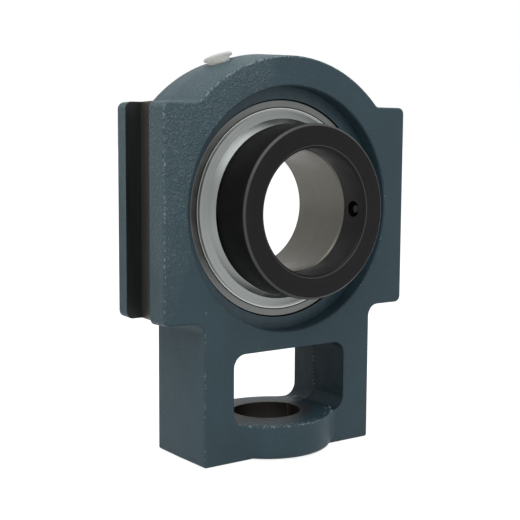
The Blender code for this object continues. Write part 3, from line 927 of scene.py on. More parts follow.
@dataclass
class Housing:
    """The cast housing: round boss, two slotted shoulders and the lower frame with its window."""

    centre: Vector
    front_depth: float = 21.0 * MM
    rear_depth: float = 22.0 * MM
    boss_radius: float = 75.8 * MM
    half_width: float = 73.0 * MM
    shoulder_top: float = 51.0 * MM
    shoulder_bottom: float = 51.5 * MM
    frame_half: float = 51.0 * MM
    front_corner: float = 3.2 * MM
    rear_corner: float = 3.4 * MM
    foot_corner: float = 1.2 * MM
    boss_growth: float = 0.6 * MM
    boss_draft: Point = (2.0 * MM, 1.2 * MM)
    side_growth: float = 0.8 * MM
    side_draft: Point = (1.0 * MM, 0.4 * MM)
    waist_fillet: float = 6.0 * MM
    boss_fillet: float = 4.0 * MM
    face_round: float = 1.5 * MM
    screw_boss_radius: float = 33.5 * MM
    screw_boss_fillet: float = 8.0 * MM
    screw_boss_round: float = 3.0 * MM
    screw_boss_lift: float = 0.3 * MM
    end_wall: float = 17.4 * MM
    screw_hole_radius: float = 17.5 * MM
    window_half: float = 34.0 * MM
    window_top: float = 68.7 * MM
    window_corner: float = 6.5 * MM
    window_draft: float = radians(3)
    window_round: float = 0.8 * MM
    parting: float = 3.5 * MM
    flash_height: float = 0.15 * MM
    flash_width: float = 0.7 * MM
    counterbore: float = 60.0 * MM
    counterbore_chamfer: float = 0.6 * MM
    seat_radius: float = 55.3 * MM
    seat_half: float = 12.5 * MM
    slot_floor: float = 65.0 * MM
    slot_front: float = -8.5 * MM
    slot_rear: float = 13.5 * MM
    grease_angle: float = radians(22.4)
    grease_shift: Vector = Vector((2.6, 4.5, 1.2)) * MM
    spot_face_radius: float = 5.7 * MM
    spot_face_depth: float = 1.2 * MM
    grease_hole_radius: float = 4.2 * MM
    tool_mark: float = 0.35 * MM
    overrun: float = 6.0 * MM
    bore_steps: int = 144

    @property
    def foot(self) -> float:
        """The depth of the foot below the shaft."""
        return self.centre.z

    @property
    def window_bottom(self) -> float:
        """The depth of the window's floor below the shaft."""
        return self.foot - self.end_wall

    def fall(self, depth: float, draft: Point) -> float:
        """Return how far the casting has drawn in at a depth, away from the mould's joint."""
        if depth < self.parting:
            return draft[0] * (self.parting - depth) / (self.parting + self.front_depth)
        return draft[1] * (depth - self.parting) / (self.rear_depth - self.parting)

    def outline(self, depth: float, corner: float) -> BMesh:
        """Return the casting's section at a depth as one face, drawn anticlockwise from the foot.

        Args:
            depth: The place along the shaft.
            corner: The radius of the shoulders' corners there.

        Returns:
            The section, drafted towards both faces.
        """
        radius = self.boss_radius + self.boss_growth - self.fall(depth, self.boss_draft)
        out = self.side_growth - self.fall(depth, self.side_draft)
        foot, waist, top = -self.foot, -self.shoulder_bottom - out, self.shoulder_top + out
        wide, leg = self.half_width + out / 2, self.frame_half + out / 2
        fillet_z = top + self.boss_fillet
        fillet_x = sqrt((radius + self.boss_fillet) ** 2 - fillet_z ** 2)
        rise = atan2(fillet_z, fillet_x)
        sketch = Sketch(Plane.FRONT, (0.0, foot))
        sketch.corner((leg, foot), (leg, waist), self.foot_corner, 4)
        sketch.corner((leg, waist), (wide, waist), self.waist_fillet, 7)
        sketch.corner((wide, waist), (wide, 0.0), corner, 6)
        sketch.corner((wide, top), (0.0, top), corner, 6)
        sketch.to((fillet_x, top)).sweep((fillet_x, fillet_z), -(pi / 2 - rise), 5)
        sketch.sweep((0.0, 0.0), pi - 2 * rise, 64).sweep((-fillet_x, fillet_z), -(pi / 2 - rise), 5)
        sketch.corner((-wide, top), (-wide, 0.0), corner, 6)
        sketch.corner((-wide, waist), (-leg, waist), corner, 6)
        sketch.corner((-leg, waist), (-leg, foot), self.waist_fillet, 7)
        sketch.corner((-leg, foot), (0.0, foot), self.foot_corner, 4)
        return moved(sketch.face(), Vector((0, depth, 0)))

    def blank(self) -> BMesh:
        """Return the plain cast block with soft front and rear rims.

        The block is widest at the mould's joint, which runs inside the guide slots, and so
        the front and the rear flanges can have corners of their own.
        """
        sections = [
            (-self.front_depth, self.front_corner), (self.slot_front, self.front_corner),
            (self.parting, self.front_corner), (self.slot_rear, self.rear_corner),
            (self.rear_depth, self.rear_corner),
        ]
        shape = lofted([self.outline(depth, corner) for depth, corner in sections])
        return soften(
            shape, self.face_round, 5,
            lambda edge: abs(edge.verts[0].co.y - edge.verts[1].co.y) < MERGE
            and not -self.front_depth + MERGE < edge.verts[0].co.y < self.rear_depth - MERGE, radians(60),
        )

    def screw_boss(self) -> BMesh:
        """Return the round boss of the adjusting screw with its fillets to both faces."""
        sunk = 0.05 * MM
        radius, fillet = self.screw_boss_radius, self.screw_boss_fillet
        sides = []
        for depth in (self.front_depth, self.rear_depth):
            y = depth + fillet - sunk
            x = sqrt((radius + fillet) ** 2 - y ** 2)
            sides.append((x, y, atan2(y, x)))
        (front_x, front_y, front_rise), (rear_x, rear_y, rear_rise) = sides
        inside_front, inside_rear = -self.front_depth + fillet, self.rear_depth - fillet
        sketch = Sketch(Plane.PLAN, (-front_x, inside_front))
        sketch.to((-front_x, -front_y + fillet))
        sketch.sweep((-front_x, -front_y), -(pi / 2 - front_rise), 8)
        sketch.sweep((0.0, 0.0), pi - 2 * front_rise, 30)
        sketch.sweep((front_x, -front_y), -(pi / 2 - front_rise), 8)
        sketch.to((front_x, inside_front), (rear_x, inside_rear), (rear_x, rear_y - fillet))
        sketch.sweep((rear_x, rear_y), -(pi / 2 - rear_rise), 8)
        sketch.sweep((0.0, 0.0), pi - 2 * rear_rise, 30)
        sketch.sweep((-rear_x, rear_y), -(pi / 2 - rear_rise), 8)
        sketch.to((-rear_x, inside_rear))
        bottom = -self.foot + self.screw_boss_lift
        height = self.end_wall + self.window_corner
        shape = raised(moved(sketch.face(), Vector((0, 0, bottom))), Vector((0, 0, height)))
        proud = min(self.front_depth, self.rear_depth) - self.face_round
        return soften(
            shape, self.screw_boss_round, 4,
            lambda edge: all(vert.co.z < bottom + sunk for vert in edge.verts)
            and abs(edge.verts[0].co.y + edge.verts[1].co.y) / 2 > proud,
            radians(60),
        )

    def window(self) -> BMesh:
        """Return the window's cutter: straight in front of the parting line, drafted behind it."""
        top, bottom, half = -self.window_top, -self.window_bottom, self.window_half
        corners = [(-half, bottom), (half, bottom), (half, top), (-half, top)]
        reach = self.screw_boss_radius + self.overrun
        shape = raised(
            moved(rounded_polygon(Plane.FRONT, corners, self.window_corner, 7), Vector((0, -reach, 0))),
            Vector((0, reach + self.parting, 0)),
        )
        # The cutter is waisted at the mould's joint, which leaves a thin ridge of flash there.
        high = (top - bottom) / 2
        middle = Matrix.Translation((0, 0, -(top + bottom) / 2))
        flash, width = self.flash_height, self.flash_width
        rest = reach - self.parting - width
        for run, spread in (
            (width / 3, -flash), (width / 3, 0.0), (width / 3, flash), (rest, rest * tan(self.window_draft)),
        ):
            ends = pushed(shape, run)
            bmesh.ops.scale(shape, verts=ends, vec=(1 + spread / half, 1, 1 + spread / high), space=middle)
        return shape

    def bore(self) -> BMesh:
        """Return the turned cutter of the two counterbores and the ball-shaped seat."""
        angle = asin(self.seat_half / self.seat_radius)
        edge = self.seat_radius * cos(angle)
        chamfer, over = self.counterbore_chamfer, self.overrun
        mouth = self.counterbore + chamfer + over
        front, rear = -self.front_depth, self.rear_depth
        sketch = Sketch(Plane.PLAN, (0.0, front - over)).to(
            (mouth, front - over), (self.counterbore, front + chamfer), (self.counterbore, -self.seat_half),
            (edge, -self.seat_half),
        )
        sketch.sweep((0.0, 0.0), 2 * angle, 14).to(
            (self.counterbore, self.seat_half), (self.counterbore, rear - chamfer), (mouth, rear + over),
            (0.0, rear + over),
        )
        return turned(sketch.half_section(), self.bore_steps)

    def slots(self) -> list[BMesh]:
        """Return the cutters of the two guide slots."""
        tall = self.foot
        low, high = self.slot_floor, self.half_width + self.overrun
        right = block(Vector((low, self.slot_front, -tall)), Vector((high, self.slot_rear, tall)))
        left = block(Vector((-high, self.slot_front, -tall)), Vector((-low, self.slot_rear, tall)))
        return [left, right]

    def screw_hole(self) -> BMesh:
        """Return the cutter of the adjusting-screw hole."""
        return moved(
            rod(self.screw_hole_radius, self.end_wall * 2, 96),
            Vector((0, 0, -self.foot + self.end_wall / 2)),
        )

    def grease_hole(self) -> list[BMesh]:
        """Return the cutters of the grease hole and its spot face."""
        face = self.boss_radius - self.spot_face_depth
        spot = moved(rod(self.spot_face_radius, self.overrun, 48), Vector((0, 0, face + self.overrun / 2)))
        depth = self.boss_radius - self.seat_radius + self.overrun
        hole = moved(
            rod(self.grease_hole_radius, depth, 32),
            Vector((0, 0, self.boss_radius - depth / 2 + self.overrun / 2)),
        )
        leaned = [turned_about(tool, -self.grease_angle, "Y") for tool in (spot, hole)]
        return [moved(tool, self.grease_shift) for tool in leaned]

    def beside_window(self, edge: BMEdge) -> bool:
        """Say whether an edge runs round a mouth of the window."""
        middle = (edge.verts[0].co + edge.verts[1].co) / 2
        inside = abs(middle.x) < self.window_half + 4 * MM
        high = -self.window_bottom - 2.5 * MM < middle.z < -self.window_top + 2.5 * MM
        return inside and high and abs(middle.y) > min(self.front_depth, self.rear_depth) - 1 * MM

    def machined_edge(self, edge: BMEdge) -> bool:
        """Say whether an edge was left by a cutting tool."""
        middle = (edge.verts[0].co + edge.verts[1].co) / 2
        at_slot = abs(middle.x) > self.slot_floor - 1 * MM
        at_hole = abs(sqrt(middle.x ** 2 + middle.y ** 2) - self.screw_hole_radius) < 0.5 * MM
        return at_slot or (at_hole and middle.z < -self.window_bottom + 1 * MM)

    def coat_of(self, face: BMFace) -> Coat:
        """Return the coat of a face, told by where all of its corners lie."""
        places = [vert.co - self.centre for vert in face.verts]
        if all(self.in_slot(p) for p in places):
            return Coat.SLOT_FLOOR if all(abs(p.x) < self.slot_floor + HAIR for p in places) else Coat.CUT
        if all(Vector((p.x, p.z)).length < self.counterbore + self.counterbore_chamfer / 4 for p in places):
            return Coat.CUT if all(self.in_seat(p) for p in places) else Coat.RECESS
        if all(self.in_screw_hole(p) for p in places):
            return Coat.SCREW_HOLE
        if all(abs(p.z + self.window_bottom) < 2 * HAIR for p in places):
            return Coat.END_WALL
        return Coat.WINDOW if all(self.in_window(p) for p in places) else Coat.PAINT

    def in_slot(self, place: Vector) -> bool:
        """Say whether a place is on the walls or the floor of a guide slot."""
        deep = abs(place.x) > self.slot_floor - HAIR
        return deep and self.slot_front - HAIR < place.y < self.slot_rear + HAIR

    def in_seat(self, place: Vector) -> bool:
        """Say whether a place is on the ball-shaped seat."""
        return abs(place.y) < self.seat_half + HAIR and place.length < self.seat_radius + HAIR

    def in_screw_hole(self, place: Vector) -> bool:
        """Say whether a place is on the wall of the adjusting-screw hole."""
        near = Vector((place.x, place.y)).length < self.screw_hole_radius + HAIR
        return near and place.z < HAIR - self.window_bottom

    def in_window(self, place: Vector) -> bool:
        """Say whether a place is on the window's walls or its floor, which get darker paint as painted shade."""
        if abs(place.z + self.window_bottom) < 2 * HAIR:
            return True
        spread = self.window_draft * self.rear_depth + 1.2 * MM
        deep = -self.front_depth + self.window_round / 2 < place.y < self.rear_depth - self.window_round / 2
        high = -self.window_bottom - spread < place.z < -self.window_top + spread
        return deep and high and abs(place.x) < self.window_half + spread

    def shape(self) -> BMesh:
        """Return the whole casting in the row frame."""
        casting = combine(self.blank(), [self.screw_boss()], Operation.JOIN)
        casting = combine(casting, [self.window()], Operation.CUT)
        soften(casting, self.window_round, 3, self.beside_window, radians(35))
        tools = [self.bore(), *self.slots(), self.screw_hole(), *self.grease_hole()]
        casting = combine(casting, tools, Operation.CUT)
        soften(casting, self.tool_mark, 2, self.machined_edge, radians(40))
        return moved(casting, self.centre)

    def worn_edges(self) -> tuple[EdgeMark, ...]:
        """Return the edges whose paint is chipped."""
        face = -self.front_depth
        inset = self.face_round * 0.3
        out = (self.side_growth - self.side_draft[0]) / 2
        wide, leg = self.half_width + out - inset, self.frame_half + out - inset
        rim = self.boss_radius + self.boss_growth - self.boss_draft[0] - inset
        spots = [
            (Vector((-wide, face + inset, 0)), 0.0, "Z", 0.9 * MM, 1.2),
            (Vector((wide, face + inset, 0)), 0.0, "Z", 0.7 * MM, 1.0),
            (Vector((-leg, face + inset, 0)), 0.0, "Z", 0.7 * MM, 1.1),
            (Vector((0, face + inset, 0)), rim, "Y", 0.6 * MM, 1.7, self.shoulder_top),
            (Vector((0, face, 0)), rim - 3.2 * MM, "Y", 0.6 * MM, 0.4, self.shoulder_top),
            (Vector((0, face, 0)), self.counterbore + 0.5 * MM, "Y", 0.6 * MM, 0.9),
            (Vector((0, 0, -self.window_bottom)), self.screw_boss_radius, "Z", 1.0 * MM, 1.7),
            (Vector((0, 0, -self.window_bottom)), self.screw_boss_radius - 2.5 * MM, "Z", 1.2 * MM, 1.3),
            (Vector((self.window_half, self.parting, 0)), 0.0, "Z", 0.8 * MM, 1.5),
        ]
        return tuple(EdgeMark(self.centre + place, *sizes) for place, *sizes in spots)

    def build(self) -> Piece:
        """Build and dress the casting."""
        paint = AlkydPaintOnCastIron(
            chip_and_highlight_edges=self.worn_edges(), stain_centre=self.centre + Vector((0, 0, -self.window_bottom)),
            stain_radius=self.screw_hole_radius, seam_depth=self.centre.y + self.parting,
        )
        # Overspray in the counterbore turns the bored iron a dull dark blue.
        recess = MachinedIron("thin_paint_on_bored_iron", "#3B5762", "#2F4550", 0.0, 0.5)
        # The slots' floors get a lighter milled iron than the other cut faces, and the screw's hole a darker,
        # browner one.
        floor = MachinedIron("milled_grey_iron_slot_floor", "#6B6A64", "#585752")
        drilled = MachinedIron("drilled_grey_iron_darker_and_browner", "#393634", "#2C2927")
        # The window's walls are given darker paint, as painted shade inside the opening.
        window_painted_shade = replace(
            paint, name="alkyd_enamel_with_painted_shade_in_the_window", paint="#22323A", paint_light="#2A3C44",
            thin="#2D3F47",
            gloss=0.1, stain="#2E2B28",
        )
        # The window's floor, on top of the end wall, gets painted shade too, a little lighter and bluer than the
        # walls.
        end_wall_painted_shade = replace(
            window_painted_shade, name="alkyd_enamel_with_painted_shade_on_the_end_wall", paint="#263B45", paint_light="#2F4650",
            thin="#324953",
        )
        coats: dict[Coat, Finish] = {
            Coat.PAINT: paint, Coat.CUT: MachinedIron(), Coat.RECESS: recess, Coat.SLOT_FLOOR: floor,
            Coat.WINDOW: window_painted_shade, Coat.SCREW_HOLE: drilled, Coat.END_WALL: end_wall_painted_shade,
        }
        return finished(
            "cast_housing", self.shape(), [coats[coat] for coat in Coat],
            "housing", ["housing"], self.coat_of,
        )


@dataclass
class InsertBearing:
    """The insert bearing: outer ring, inner ring with its eccentric nose, and the two flingers."""

    centre: Vector
    bore: float = 30.0 * MM
    outside: float = 55.0 * MM
    half_width: float = 12.0 * MM
    ball: float = 7.9375 * MM
    pitch: float = 42.5 * MM
    gap: float = 0.3 * MM
    inner_shoulder: float = 38.0 * MM
    outer_shoulder: float = 47.0 * MM
    seal_groove: float = 50.0 * MM
    seal_back: float = 9.5 * MM
    reach_front: float = 23.7 * MM
    reach_rear: float = 13.5 * MM
    nose_back: float = 17.0 * MM
    cam: float = 34.6 * MM
    eccentricity: float = 1.0 * MM
    chamfer: float = 0.6 * MM
    bore_chamfer: float = 1.2 * MM
    sheet: float = 0.9 * MM
    rim: float = 1.5 * MM
    dish_rise: float = 1.3 * MM
    hub_rise: float = 2.6 * MM
    hub_radius: float = 44.4 * MM
    hub_slope: float = 3.2 * MM
    steps: int = 160

    def outer_ring(self) -> BMesh:
        """Return the outer ring with its ball-shaped outside, ball track and seal grooves."""
        half, chamfer = self.half_width, self.chamfer
        angle = asin((half - chamfer) / self.outside)
        face = self.outside * cos(angle) - chamfer
        groove = self.ball + self.gap
        track = acos((self.outer_shoulder - self.pitch) / groove)
        deep = self.seal_back - self.gap
        sketch = Sketch(Plane.PLAN, (face, -half)).to((face + chamfer, -half + chamfer))
        sketch.sweep((0.0, 0.0), 2 * angle, 14).to(
            (face, half), (self.seal_groove, half), (self.seal_groove, deep), (self.outer_shoulder, deep),
            (self.outer_shoulder, groove * sin(track)),
        )
        sketch.sweep((self.pitch, 0.0), -2 * track, 14).to(
            (self.outer_shoulder, -deep), (self.seal_groove, -deep), (self.seal_groove, -half),
        )
        return soften(turned(sketch.wire(), self.steps), 0.15 * MM, 2, self.on_outer_face)

    def on_outer_face(self, edge: BMEdge) -> bool:
        """Say whether an edge bounds a side face of the outer ring."""
        ring = abs(edge.verts[0].co.y - edge.verts[1].co.y) < MERGE
        return ring and abs(abs(edge.verts[0].co.y) - self.half_width) < MERGE

    def inner_ring(self) -> BMesh:
        """Return the inner ring with its track and its eccentric nose."""
        groove = self.ball + self.gap
        track = acos((self.pitch - self.inner_shoulder) / groove)
        shoulder, chamfer, bore = self.inner_shoulder, self.bore_chamfer, self.bore
        sketch = Sketch(Plane.PLAN, (shoulder, -self.nose_back)).to((shoulder, -groove * sin(track)))
        sketch.sweep((self.pitch, 0.0), -2 * track, 14).to(
            (shoulder, self.reach_rear - self.chamfer), (shoulder - self.chamfer, self.reach_rear),
            (bore + chamfer, self.reach_rear), (bore, self.reach_rear - chamfer),
            (bore, -self.reach_front + chamfer),
            (bore + chamfer, -self.reach_front), (self.cam + 2 * self.eccentricity, -self.reach_front),
            (self.cam + 2 * self.eccentricity, -self.nose_back),
        )
        ring = turned(sketch.wire(), self.steps)
        outside, end = shoulder + 6 * MM, -self.reach_front - 6 * MM
        cut = Sketch(Plane.PLAN, (self.cam, -self.nose_back))
        cut.to((outside, -self.nose_back), (outside, end), (self.cam, end))
        tool = moved(turned(cut.wire(), self.steps), Vector((self.eccentricity, 0, 0)))
        return combine(ring, [tool], Operation.CUT)

    def flinger(self, dish_rise: float, hub_rise: float, side: int) -> BMesh:
        """Return a pressed flinger: flat rim, shallow dish, steep hub and inner lip.

        Args:
            dish_rise: How far the dish rises from the rim to the hub.
            hub_rise: How far the hub rises above the dish.
            side: 1 for the rear and -1 for the front.

        Returns:
            The flinger with soft bends.
        """
        back = self.half_width - self.sheet
        rim = self.seal_groove - self.gap
        edge, foot = rim - self.rim, back + dish_rise
        top, crest, lip = foot + hub_rise, self.hub_radius - self.hub_slope, self.inner_shoulder + self.gap
        half = self.sheet / 2
        sketch = Sketch(Plane.PLAN, (lip, top + self.sheet)).to((lip, top))
        if hub_rise:
            sketch.corner((crest - half, top), (self.hub_radius, foot), 0.4 * MM, 3)
            sketch.corner((self.hub_radius, foot), (edge, back), 0.6 * MM, 3)
        sketch.corner((edge, back), (rim, back), 1.0 * MM, 3)
        sketch.to((rim, back)).corner((rim, back + self.sheet), (edge, back + self.sheet), 0.25 * MM, 3)
        sketch.corner((edge, back + self.sheet), (self.hub_radius, foot + self.sheet), 1.0 * MM, 3)
        if hub_rise:
            sketch.corner((self.hub_radius, foot + self.sheet), (crest + half, top + self.sheet), 0.5 * MM, 3)
            sketch.corner((crest + half, top + self.sheet), (lip, top + self.sheet), 0.7 * MM, 4)
        shape = sketch.wire()
        bmesh.ops.scale(shape, verts=shape.verts[:], vec=(1, side, 1))
        return turned(shape, self.steps)

    def build(self) -> list[Piece]:
        """Build and dress the rings and the flingers."""
        ground = TurnedMetal(
            "ground_bearing_steel", self.centre, "#757776", "#686A69", 1.0, 0.36, 0.7 * MM, 0.015 * MM,
        )
        bored = TurnedMetal(
            "honed_bearing_steel", self.centre, "#605F58", "#575550", 1.0, 0.36, 0.7 * MM, 0.015 * MM,
        )
        face = self.centre - Vector((0, self.half_width, 0))
        bends = (EdgeMark(face, self.seal_groove - self.gap, "Y", 1.0 * MM),)
        # A painted highlight, a lighter band of colour, runs along the bend at the flinger's rim.
        zinc = TurnedMetal(
            "zinc_plated_sheet_steel_with_painted_rim_highlight", self.centre, "#8E9290", "#858987", 1.0, 0.36, 0.9 * MM, 0.012 * MM,
            bends, "#C4C8C5",
        )
        return [
            finished(
                "ground_outer_ring", moved(self.outer_ring(), self.centre), [ground],
                "outer", ["outer_ring"],
            ),
            finished(
                "ground_inner_ring", moved(self.inner_ring(), self.centre), [bored],
                "inner", ["inner_ring"],
            ),
            finished(
                "pressed_front_flinger", moved(self.flinger(self.dish_rise, self.hub_rise, -1), self.centre), [zinc],
                "inner", ["flinger_front"],
            ),
            finished(
                "pressed_rear_flinger", moved(self.flinger(self.dish_rise / 3, 0.0, 1), self.centre), [zinc],
                "inner", ["flinger_rear"],
            ),
        ]


@dataclass
class LockingCollar:
    """The eccentric locking collar with its socket set screw."""

    centre: Vector
    radius: float = 42.0 * MM
    bore: float = 30.3 * MM
    back: float = 17.3 * MM
    reach: float = 39.6 * MM
    chamfer: float = 1.2 * MM
    bore_chamfer: float = 1.2 * MM
    edge: float = 0.6 * MM
    recess: float = 34.95 * MM
    recess_floor: float = 24.0 * MM
    eccentricity: float = 1.0 * MM
    screw_y: float = 31.0 * MM
    screw_radius: float = 4.0 * MM
    screw_length: float = 9.0 * MM
    screw_start: float = 31.7 * MM
    gap: float = 0.3 * MM
    hex_size: float = 4.0 * MM
    hex_depth: float = 4.0 * MM
    thread_pitch: float = 1.25 * MM
    steps: int = 160

    def ring(self) -> BMesh:
        """Return the collar with its eccentric recess and the screw's hole."""
        front, back = -self.reach, -self.back
        sketch = Sketch(Plane.PLAN, (self.bore + self.bore_chamfer, front)).to(
            (self.radius - self.chamfer, front), (self.radius, front + self.chamfer),
            (self.radius, back - self.edge),
            (self.radius - self.edge, back), (self.bore, back), (self.bore, front + self.bore_chamfer),
        )
        ring = turned(sketch.wire(), self.steps)
        start, floor = back + 6 * MM, -self.recess_floor
        cut = turned_about(rod(self.recess, start - floor, self.steps), pi / 2, "X")
        cut = moved(cut, Vector((self.eccentricity, (start + floor) / 2, 0)))
        hole = turned_about(rod(self.screw_radius, self.radius, 48), pi / 2, "Y")
        hole = moved(hole, Vector((self.radius, -self.screw_y, 0)))
        shape = combine(ring, [cut, hole], Operation.CUT)
        return soften(shape, 0.12 * MM, 2, self.on_front_rim, radians(30))

    def on_front_rim(self, edge: BMEdge) -> bool:
        """Say whether an edge is one of the round edges at the collar's front."""
        low, high = sorted(vert.co.y for vert in edge.verts)
        return high - low < MERGE and high < -self.reach + self.chamfer + MERGE

    def set_screw(self) -> BMesh:
        """Return the set screw with its thread rings and hexagon socket."""
        radius = self.screw_radius - self.gap
        point = radius / 2
        root = radius - 0.55 * MM
        sketch = Sketch(Plane.PLAN, (0.0, 0.0)).to((point, 0.0), (radius - self.gap, radius - point))
        y = radius - point
        while y + self.thread_pitch < self.screw_length - self.gap:
            sketch.to((radius, y + 0.35 * self.thread_pitch), (root, y + self.thread_pitch * 0.85))
            y += self.thread_pitch
        sketch.to(
            (radius, self.screw_length - 2 * self.gap), (radius - self.gap, self.screw_length),
            (0.0, self.screw_length),
        )
        screw = turned_about(turned(sketch.half_section(), 48), -pi / 2, "Z")
        key = turned_about(rod(self.hex_size / 2 / cos(pi / 6), 2 * self.hex_depth, 6), pi / 2, "Y")
        screw = combine(screw, [moved(key, Vector((self.screw_length, 0, 0)))], Operation.CUT)
        return moved(screw, Vector((self.screw_start, -self.screw_y, 0)))

    def build(self) -> list[Piece]:
        """Build and dress the collar and its screw."""
        front = self.centre + Vector((0, -self.reach, 0))
        # The two lines are painted highlights: a soft light band across the front chamfer and a thin light line at
        # the bore's chamfer.
        lines = (
            EdgeMark(
                front + Vector((0, self.chamfer / 2, 0)), self.radius - self.chamfer / 2, "Y", 0.95 * MM,
            ),
            EdgeMark(front, self.bore + self.bore_chamfer, "Y", 0.3 * MM),
        )
        black = TurnedMetal(
            "black_oxide_on_turned_steel_with_painted_highlights", self.centre, "#212022", "#1C1B1D", 0.35, 0.42, 0.8 * MM,
            0.015 * MM,
            lines, "#585857", 0.15,
        )
        screw = TurnedMetal(
            "black_oxide_on_alloy_steel", self.centre, "#1B1A1A", "#151414", 0.3, 0.36, 0.8 * MM, 0.02 * MM,
            gloss=0.25,
        )
        return [
            finished(
                "black_locking_collar", moved(self.ring(), self.centre), [black],
                "collar", ["locking_collar"],
            ),
            finished(
                "socket_set_screw", moved(self.set_screw(), self.centre), [screw],
                "screw", ["set_screw"],
            ),
        ]


@dataclass
class GreasePlug:
    """The moulded plug that closes the grease hole."""

    centre: Vector
    angle: float = radians(22.4)
    seat: float = 75.5 * MM
    stem: float = 3.9 * MM
    stem_length: float = 9.0 * MM
    body: float = 5.5 * MM
    body_round: float = 1.3 * MM
    cap: float = 7.2 * MM
    cone: float = 0.45 * MM
    cap_under: float = 2.3 * MM
    cap_thickness: float = 1.2 * MM
    cap_round: float = 0.3 * MM
    cone_round: float = 0.4 * MM
    shift: Vector = Vector((2.6, 4.5, 1.2)) * MM
    lean_inward: float = radians(10.4)
    lean_back: float = radians(13.0)
    sunk: float = 1.4 * MM
    steps: int = 64

    def shape(self) -> BMesh:
        """Return the plug with soft moulded edges."""
        top = self.cap_under + self.cap_thickness
        lead = self.stem / 4
        sketch = Sketch(Plane.PLAN, (0.0, -self.stem_length)).to((self.stem - lead, -self.stem_length))
        sketch.to((self.stem, -self.stem_length + 2 * lead), (self.stem, -self.sunk))
        sketch.corner((self.body, -self.sunk), (self.body, self.cap_under), self.body_round, 6)
        sketch.corner((self.body, self.cap_under - self.cone), (self.cap, self.cap_under), self.cone_round, 3)
        sketch.corner((self.cap, self.cap_under), (self.cap, top), self.cap_round, 3)
        sketch.corner((self.cap, top), (0.0, top), self.cap_round, 4)
        sketch.to((0.0, top))
        upright = turned_about(turned(sketch.half_section(), self.steps), pi / 2, "X")
        # The soft head was pressed in crooked: it leans on its stem, which stays in line with the hole.
        head = [vert for vert in upright.verts if vert.co.z > -self.sunk - MERGE]
        lean = Matrix.Rotation(self.lean_inward, 3, "Y") @ Matrix.Rotation(-self.lean_back, 3, "X")
        bmesh.ops.rotate(upright, verts=head, cent=(0, 0, 0), matrix=lean)
        placed = moved(turned_about(moved(upright, Vector((0, 0, self.seat))), -self.angle, "Y"), self.shift)
        return moved(placed, self.centre)

    def build(self) -> Piece:
        """Build and dress the plug."""
        # Polythene without pigment lets light deep in, so the small plug looks white all round.
        polythene = MouldedPlastic(
            "moulded_polythene", "#F8F8EE", "#F1F2E6", 0.45, subsurface=1.0, bleed=9.0 * MM,
        )
        return finished(
            "moulded_grease_plug", self.shape(), [polythene],
            "plug", ["grease_plug"],
        )


@dataclass
class HiddenParts:
    """The inner pieces that keep their CAD shapes: cage, balls and lip seals."""

    centre: Vector
    seals: tuple[str, ...] = ("seal_front", "seal_rear")
    balls: int = 10

    def build(self) -> None:
        """Dress each piece in its own finish."""
        rubber = MouldedPlastic("moulded_nitrile_rubber", "#262626", "#1E1E1E", 0.62)
        polyamide = MouldedPlastic("moulded_glass_filled_polyamide", "#C3B899", "#B3A888", 0.5)
        chrome = TurnedMetal(
            "lapped_chrome_steel", self.centre, "#B4B2AE", "#A6A4A0", 1.0, 0.12, 0.6 * MM, 0.01 * MM,
        )
        finishes: dict[str, tuple[Finish, str]] = {name: (rubber, "seal_rubber") for name in self.seals}
        finishes["cage"] = (polyamide, "cage_polyamide")
        for number in range(1, self.balls + 1):
            finishes[f"ball_{number:02d}"] = (chrome, "bearing_steel")
        for name, (finish, slot) in finishes.items():
            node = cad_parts[name]
            node.data.materials.clear()
            node.data.materials.append(finish.make())
            LOG.info("%s: dressed in %s", name, finish.name)


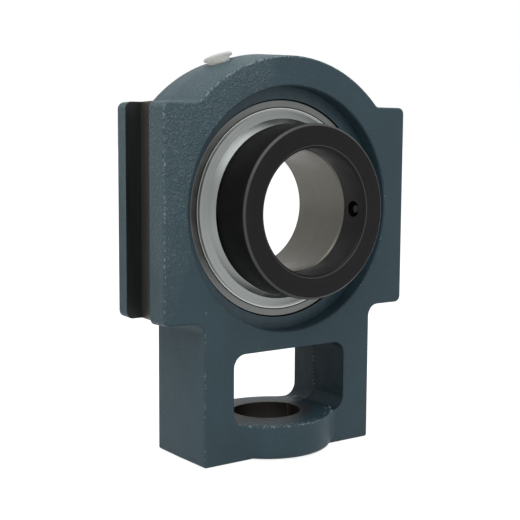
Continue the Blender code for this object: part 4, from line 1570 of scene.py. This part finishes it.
@dataclass
class Studio:
    """A pale floor under an even white surround, with one large soft lamp above."""

    floor_size: float = 30.0
    floor_colour: str = "#D0D0D0"
    floor_glow: float = 0.85
    floor_gap: float = 0.2 * MM
    surround: float = 0.45
    lamps: tuple[tuple[Vector, float, float], ...] = (
        (Vector((-0.22, -0.28, 0.80)), 0.7, 2.8),
    )

    def build(self) -> None:
        """Make the floor, the surround and the lamps."""
        self.build_floor()
        self.build_surround()
        for number, (place, size, power) in enumerate(self.lamps):
            self.build_lamp(number, place, size, power)

    def seen(self, tree: Tree) -> Socket:
        """Add the nodes that are 1 where a surface is seen, mirrored or looked at through glass."""
        path = add_node(tree, "LightPath")
        mirrored = add_node(
            tree, "Math", {0: path.outputs["Is Camera Ray"], 1: path.outputs["Is Glossy Ray"]},
            operation="MAXIMUM",
        )
        return add_node(
            tree, "Math", {0: mirrored.outputs[0], 1: path.outputs["Is Transmission Ray"]},
            operation="MAXIMUM",
        ).outputs[0]

    def build_floor(self) -> None:
        """Lay the floor, which keeps the object's shadow on white."""
        shape = bmesh.new()
        bmesh.ops.create_grid(shape, x_segments=1, y_segments=1, size=self.floor_size / 2)
        mesh = bpy.data.meshes.new("studio_floor")
        shape.to_mesh(mesh)
        shape.free()
        floor = bpy.data.objects.new("studio_floor", mesh)
        floor.location = (0, 0, -self.floor_gap)
        bpy.context.scene.collection.objects.link(floor)
        material = bpy.data.materials.new("matt_white_paper")
        material.use_nodes = True
        tree = material.node_tree
        tree.nodes.clear()
        paper = add_node(tree, "BsdfDiffuse", {"Color": linear(self.floor_colour)})
        glow = add_node(tree, "Math", {0: self.seen(tree), 1: self.floor_glow}, operation="MULTIPLY")
        white = add_node(tree, "Emission", {"Color": (1, 1, 1, 1), "Strength": glow.outputs[0]})
        both = add_node(tree, "AddShader", {0: paper.outputs[0], 1: white.outputs[0]})
        add_node(tree, "OutputMaterial", {"Surface": both.outputs[0]})
        mesh.materials.append(material)

    def build_surround(self) -> None:
        """Make the world plain for light, and white where it is seen or mirrored."""
        world = bpy.data.worlds.new("studio_surround")
        bpy.context.scene.world = world
        world.use_nodes = True
        tree = world.node_tree
        tree.nodes.clear()
        strength = add_node(
            tree, "MapRange", {"Value": self.seen(tree), "To Min": self.surround, "To Max": 1.0},
        )
        light = add_node(tree, "Background", {"Color": (1, 1, 1, 1), "Strength": strength.outputs[0]})
        add_node(tree, "OutputWorld", {"Surface": light.outputs[0]})

    def build_lamp(self, number: int, place: Vector, size: float, power: float) -> None:
        """Hang one square soft lamp that points at the object.

        Args:
            number: The lamp's number.
            place: Where it hangs.
            size: The length of its sides.
            power: Its power in watts.
        """
        lamp = bpy.data.lights.new(f"softbox_{number}", "AREA")
        lamp.shape = "SQUARE"
        lamp.size = size
        lamp.energy = power
        holder = bpy.data.objects.new(f"softbox_{number}", lamp)
        holder.location = place
        aim = Vector((0, 0, 0.1)) - place
        holder.rotation_mode = "QUATERNION"
        holder.rotation_quaternion = aim.to_track_quat("-Z", "Y")
        bpy.context.scene.collection.objects.link(holder)


@dataclass
class ProductCamera:
    """The camera at the photograph's viewing angle."""

    target: Vector
    azimuth: float = radians(-35.8)
    elevation: float = radians(6.5)
    roll: float = radians(0.36)
    distance: float = 543.16 * MM
    lens: float = 74.48
    sensor: float = 36.0

    def build(self) -> Piece:
        """Make the camera and set it as the scene's."""
        back = Vector((
            sin(self.azimuth) * cos(self.elevation), -cos(self.azimuth) * cos(self.elevation),
            sin(self.elevation),
        ))
        level = Vector((cos(self.azimuth), sin(self.azimuth), 0))
        upright = back.cross(level)
        right = level * cos(self.roll) + upright * sin(self.roll)
        up = upright * cos(self.roll) - level * sin(self.roll)
        data = bpy.data.cameras.new("product_camera")
        data.lens = self.lens
        data.sensor_width = self.sensor
        data.clip_start, data.clip_end = 0.05, 60.0
        camera = bpy.data.objects.new("product_camera", data)
        turn = Matrix((right, up, back)).transposed().to_4x4()
        camera.matrix_world = Matrix.Translation(self.target + back * self.distance) @ turn
        bpy.context.scene.collection.objects.link(camera)
        bpy.context.scene.camera = camera
        return camera


def main() -> None:
    """Build the whole unit, its studio and its camera."""
    logging.basicConfig(level=logging.INFO)
    low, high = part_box("outer_ring")
    centre = (low + high) / 2
    Housing(centre).build()
    InsertBearing(centre).build()
    LockingCollar(centre).build()
    GreasePlug(centre).build()
    HiddenParts(centre).build()
    Studio().build()
    ProductCamera(centre + Vector((-4.4, 0, -26.37)) * MM).build()
    bpy.context.scene.view_settings.view_transform = "Standard"


if __name__ == "__main__":
    main()
